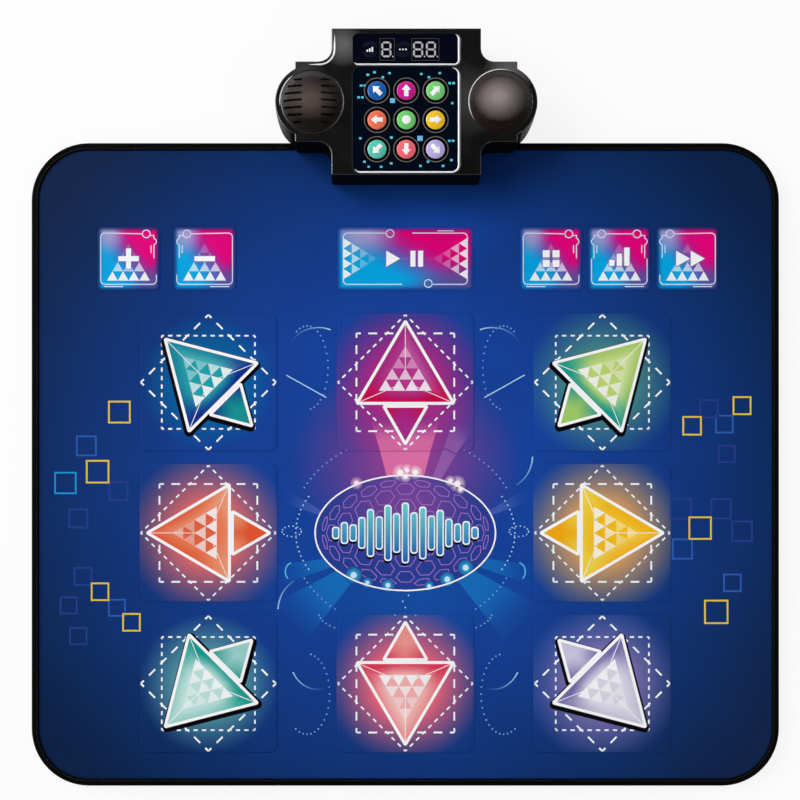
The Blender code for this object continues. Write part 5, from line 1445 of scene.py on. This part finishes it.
def cut_into(inks, outline, colour, centre, crown):
    # The outline cut into narrow strips, so that it can follow the crown of its lens
    shape = bmesh.new()
    shape.faces.new([shape.verts.new((x, y, 0.0)) for x, y in outline])
    for axis in (0, 1):
        for k in range(-6, 7):
            at, normal = [centre[0], centre[1], 0.0], [0.0, 0.0, 0.0]
            at[axis] += k * 0.0013
            normal[axis] = 1.0
            geometry = shape.verts[:] + shape.edges[:] + shape.faces[:]
            bmesh.ops.bisect_plane(shape, geom=geometry, plane_co=at, plane_no=normal)
    made = bmesh.ops.extrude_face_region(shape, geom=shape.faces[:])
    top = {item for item in made["geom"] if isinstance(item, bmesh.types.BMVert)}
    start = len(inks.verts)
    shape.verts.index_update()
    for vertex in shape.verts:
        reach = math.dist(vertex.co.xy, centre) / LENS_RADIUS
        z = console_high.z + crown * (1 - reach * reach)
        inks.verts.append((vertex.co.x, vertex.co.y, z + (0.00004 if vertex in top else -0.0001)))
        inks.colours.append(colour)
    bmesh.ops.recalc_face_normals(shape, faces=shape.faces)
    inks.faces += [tuple(start + vertex.index for vertex in face.verts) for face in shape.faces]
    shape.free()


DIGIT_HALF_X, DIGIT_HALF_Y, DIGIT_THICK = 0.0060, 0.0094, 0.0022


def digit(ink, x, y, colour, layer):
    # One figure eight of seven separate bars, with its point
    half_x, half_y, thick, t = DIGIT_HALF_X, DIGIT_HALF_Y, DIGIT_THICK, DIGIT_THICK / 2
    cut = thick * 0.28

    def segment(dx, dy, reach, turn):
        corners = [(-reach, 0), (t - reach, t), (reach - t, t), (reach, 0), (reach - t, -t), (t - reach, -t)]
        ink.area(placed(corners, (x + dx, y + dy), turn), colour, layer)

    for level in (-1, 0, 1):
        segment(0.0, level * (half_y - t), half_x - t - cut, 0)
    for side in (-1, 1):
        for level in (-1, 1):
            segment(side * (half_x - t), level * (half_y - t) / 2, (half_y - t) / 2 - cut, 90)
    ink.area(circle((x + half_x + thick * 0.8, y - half_y + thick * 0.4), thick * 0.42, 10), colour, layer)


def make_display_print():
    # Three figures in two framed fields, and two dials: rising bars in one and a row of dots in the other
    ink = Print(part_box("display_window")[1].z)
    y = middle_of("display_window")[1]
    pale, rule, faint = (186, 185, 184), (74, 70, 64), (58, 62, 92)
    level, score = (middle_of(side + "_digit_module")[0] for side in ("level", "score"))
    for side, x in (("level", level), ("score", score)):
        low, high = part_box(side + "_digit_module")
        border = bar(x, y, (high.x - low.x) / 2, (high.y - low.y) / 2)
        ink.band(border, 0.0006, rule, 1, closed=True)
    for x in (level - 0.0010, score - 0.0088, score + 0.0066):
        digit(ink, x, y, pale, 2)
    dials = (level - 0.0208, (level + score) / 2 - 0.0040)
    for x in dials:
        for radius, count in ((0.0088, 28), (0.0070, 22), (0.0052, 16)):
            ring = [p for p in circle((x, y), radius, count) if abs(p[1] - y) > 0.0026]
            ink.dots(ring, 0.00042, faint, 1, 6)
    for k, height in enumerate((0.0012, 0.0020, 0.0028)):
        ink.area(bar(dials[0] + (k - 1) * 0.0030, y - 0.0028 + height, 0.0009, height), WHITE, 2)
        point = rounded_path(bar(0, 0, 0.0009, 0.0009), 0.0002, 2)
        ink.area(placed(point, (dials[1] + (k - 1) * 0.0036, y), 45), WHITE, 2)
    ink.piece("display_print", "display window")


# Small cyan marks of the panel, in millimetres from its centre: x, y, half width and half height
PANEL_MARKS = (
    (-46, 54, 1.6, 1.3), (-38, 57, 1.5, 1.3), (-28, 51, 1.5, 1.3), (-20, 56, 1.5, 1.3), (-54, 41, 1.6, 1.3),
    (-49.5, 41, 1.6, 1.3), (18, 55, 1.5, 1.3), (27, 51, 1.5, 1.3), (40, 56, 1.5, 1.3), (52, 44, 1.6, 1.3),
    (56.5, 44, 1.6, 1.3), (-16.5, 23, 3.0, 2.8), (-57, 27, 1.5, 1.3), (-52.5, 27, 1.5, 1.3), (55, 20, 1.4, 1.2),
    (16.5, -22, 3.2, 3.0), (56, -25, 1.5, 1.3), (51.5, -25, 1.5, 1.3), (-55, -22, 1.5, 1.3), (-18, -52, 1.5, 1.3),
    (-30, -56, 1.5, 1.3), (17, -55, 1.5, 1.3), (26, -50, 1.5, 1.3), (44, -55, 1.6, 1.3), (-50, -50, 1.6, 1.3),
    (54, -48, 1.5, 1.3), (-45, -56, 1.4, 1.2), (-17.8, -21, 1.6, 1.4),
)


def make_panel_print():
    # Two rings round each light, and the small marks between them
    x, y = middle_of("indicator_panel")
    ink = Print(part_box("indicator_panel")[1].z)
    for column in (-1, 0, 1):
        for row in (-1, 0, 1):
            place = (x + column * LENS_PITCH, y + row * LENS_PITCH)
            for radius, width, colour, layer in ((0.0130, 0.0028, (5, 5, 8), 2), (0.0151, 0.0009, (120, 112, 102), 3)):
                ink.band(circle(place, radius, 48), width, colour, layer, closed=True)
    for dx, dy, half_x, half_y in PANEL_MARKS:
        bright = (88, 206, 232) if half_x < 2.5 else (110, 190, 236)
        ink.area(bar(x + dx / 1000, y + dy / 1000, half_x / 1000, half_y / 1000), bright, 1)
    ink.piece("panel_print", "indicator panel")


# The white bead that is a painted highlight inside the block's left rear corner, from the console's middle, and its
# turn round the fillet
CORNER_START, CORNER_END = (-0.0855, 0.0795), (-0.1165, 0.0440)
CORNER_TURN, CORNER_RADIUS = (-0.1035, 0.0620), 0.0180


def corner_path():
    turn = arc(CORNER_TURN, CORNER_RADIUS, 0, -90, 8)
    path = [CORNER_START] + between(CORNER_START, turn[0], 6) + turn + between(turn[-1], CORNER_END, 5) + [CORNER_END]
    return [(x, CONSOLE_Y + y) for x, y in path]


RIM_INSET, RIM_HALF, RIM_RISE = 0.0011, 0.00105, 0.0005


def rim_path(low, high, corner, start):
    # Down the right side and along the front of a window, and a little round the corners at both ends
    x0, x1, y0, y1 = low.x + RIM_INSET, high.x - RIM_INSET, low.y + RIM_INSET, high.y - RIM_INSET
    path = arc((x1 - corner, y1 - corner), corner, 90 * start, 0, 5)
    path += between(path[-1], (x1, y0 + corner), 12) + arc((x1 - corner, y0 + corner), corner, 0, -90, 8)
    return path + between(path[-1], (x0 + corner, y0), 14) + arc((x0 + corner, y0 + corner), corner, 270, 215, 5)


def make_highlight_beads():
    # Fine white beads that are painted highlights and fade out at their ends: one along each window, and one by the
    # block's corner
    shine = Shader("painted_highlight_bead", roughness=0.25)
    # Painted highlight: a near-white colour
    shine.colour(shine.mottled((226, 228, 232), (246, 246, 248), 80))
    shine.rough(shine.noise(400, 3), 0.2, 0.32)
    shine.bump(shine.noise(900, 2), 0.00001)
    beads = [(corner_path(), console_high.z)]
    for node, corner, start in (("indicator_panel", 0.0085, 0.95), ("display_window", 0.0055, 0.85)):
        low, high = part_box(node)
        beads.append((rim_path(low, high, corner, start), high.z))
    verts, faces = [], []
    section = arc((0.0, 0.0), 1.0, 0, 180, 5)
    for path, level in beads:
        rings = []
        for i, (x, y) in enumerate(path):
            left = len(path) - 1 - i
            dx, dy = unit(path[max(0, i - 1)], path[min(len(path) - 1, i + 1)])
            taper = min(1.0, 0.15 + i / 5, 0.15 + left / 6)
            half, rise, foot = RIM_HALF * taper, RIM_RISE * taper, level - 0.00005
            rings.append([(x - dy * out * half, y + dx * out * half, foot + up * rise) for out, up in section])
        add_tube(verts, faces, rings)
    mesh = mesh_of("painted_highlight_beads", verts, faces)
    shade(mesh, 40)
    add_piece("painted_highlight_beads", mesh, shine.material, "console housing")


# Stage


FLOOR_HALF, FLOOR_Z, FLOOR_GLOW = 6.0, -0.0002, 0.86


def make_floor():
    # A matt pale sheet, which the camera and the reflections see mostly as an even white
    mesh = mesh_of("floor", raised(bar(0, 0, FLOOR_HALF, FLOOR_HALF), FLOOR_Z), [(0, 1, 2, 3)])
    floor = bpy.data.objects.new("floor", mesh)
    bpy.context.scene.collection.objects.link(floor)
    s = Shader("pale_floor", roughness=0.9, specular=0.0)
    s.set("Base Color", (0.95, 0.95, 0.95, 1))
    rays = s.nodes.new("ShaderNodeLightPath").outputs
    seen = s.math("MAXIMUM", rays["Is Camera Ray"], rays["Is Glossy Ray"])
    share = s.math("MULTIPLY", s.math("MAXIMUM", seen, rays["Is Transmission Ray"]), FLOOR_GLOW)
    light = s.node("ShaderNodeEmission", {"Strength": 1.0})
    blend = s.node("ShaderNodeMixShader", {0: share, 1: s.shader.outputs[0], 2: light})
    s.links.new(blend, s.nodes["Material Output"].inputs["Surface"])
    mesh.materials.append(s.material)


def make_world():
    # A studio that is dark overhead, so that level gloss stays deep, and bright towards its walls
    world = bpy.data.worlds.new("studio")
    bpy.context.scene.world = world
    world.use_nodes = True
    tree = Tree(world.node_tree)
    way = tree.node("ShaderNodeTexCoord", output="Generated")
    height = tree.spread(tree.part(way, "Z"), 0.35, 0.62, 3.0, 0.03)
    # The wall to the left and behind is the window side
    facing = tree.vector("DOT_PRODUCT", way, (-0.93, 0.37, 0.0), "Value")
    window = tree.spread(facing, 0.55, 0.92, 0.50, 2.9, interpolation_type="SMOOTHSTEP")
    camera_ray = tree.node("ShaderNodeLightPath", output="Is Camera Ray")
    back = tree.nodes["Background"]
    back.inputs["Color"].default_value = (1, 1, 1, 1)
    strength = tree.math("MAXIMUM", tree.math("MULTIPLY", height, window), camera_ray)
    tree.links.new(strength, back.inputs["Strength"])


def add_lamp(name, place, size, power):
    # An area lamp that faces the origin
    data = bpy.data.lights.new(name, "AREA")
    data.shape, data.size, data.size_y, data.energy = "RECTANGLE", size[0], size[1], power
    lamp = bpy.data.objects.new(name, data)
    lamp.location = place
    lamp.rotation_euler = (-Vector(place)).to_track_quat("-Z", "Y").to_euler()
    bpy.context.scene.collection.objects.link(lamp)


def make_lamps():
    add_lamp("key", (-2.5, 2.0, 1.6), (1.2, 1.0), 24)
    add_lamp("fill", (2.6, -1.6, 1.5), (1.4, 1.0), 14)
    add_lamp("strip", (-2.3, 1.3, 0.85), (1.7, 0.10), 14)


CAMERA_HEIGHT = 0.78
CAMERA_X = -0.030
CAMERA_BELOW_TOP = 0.0355
FRAME_WIDTH = 800 * PIXEL
SENSOR = 36.0
# A small correction of the scale, and where the frame's middle lies from the mat's, in pixels
SCALE_TRIM, SHIFT_X, SHIFT_Y = 1.0015, -5.3, 64.4


def make_camera():
    # Straight down, a little left of the frame's middle and nearer the player, so that the console's front shows
    data = bpy.data.cameras.new("camera")
    data.sensor_width = SENSOR
    data.lens = SENSOR * SCALE_TRIM * (CAMERA_HEIGHT - FACE) / FRAME_WIDTH
    camera = bpy.data.objects.new("camera", data)
    camera.location = (CAMERA_X, MAT_Y + CAMERA_BELOW_TOP, CAMERA_HEIGHT)
    data.shift_x = (SHIFT_X * PIXEL - CAMERA_X) / FRAME_WIDTH
    data.shift_y = (SHIFT_Y * PIXEL - CAMERA_BELOW_TOP) / FRAME_WIDTH
    bpy.context.scene.collection.objects.link(camera)
    bpy.context.scene.camera = camera


def build():
    dress_nodes()
    make_foam()
    make_cover()
    make_step_pads()
    make_function_pads()
    make_mat_print()
    make_binding()
    make_stitches()
    make_base()
    make_lenses()
    make_display_print()
    make_panel_print()
    make_highlight_beads()
    make_floor()
    make_world()
    make_lamps()
    make_camera()
    bpy.context.scene.view_settings.view_transform = "Standard"


build()
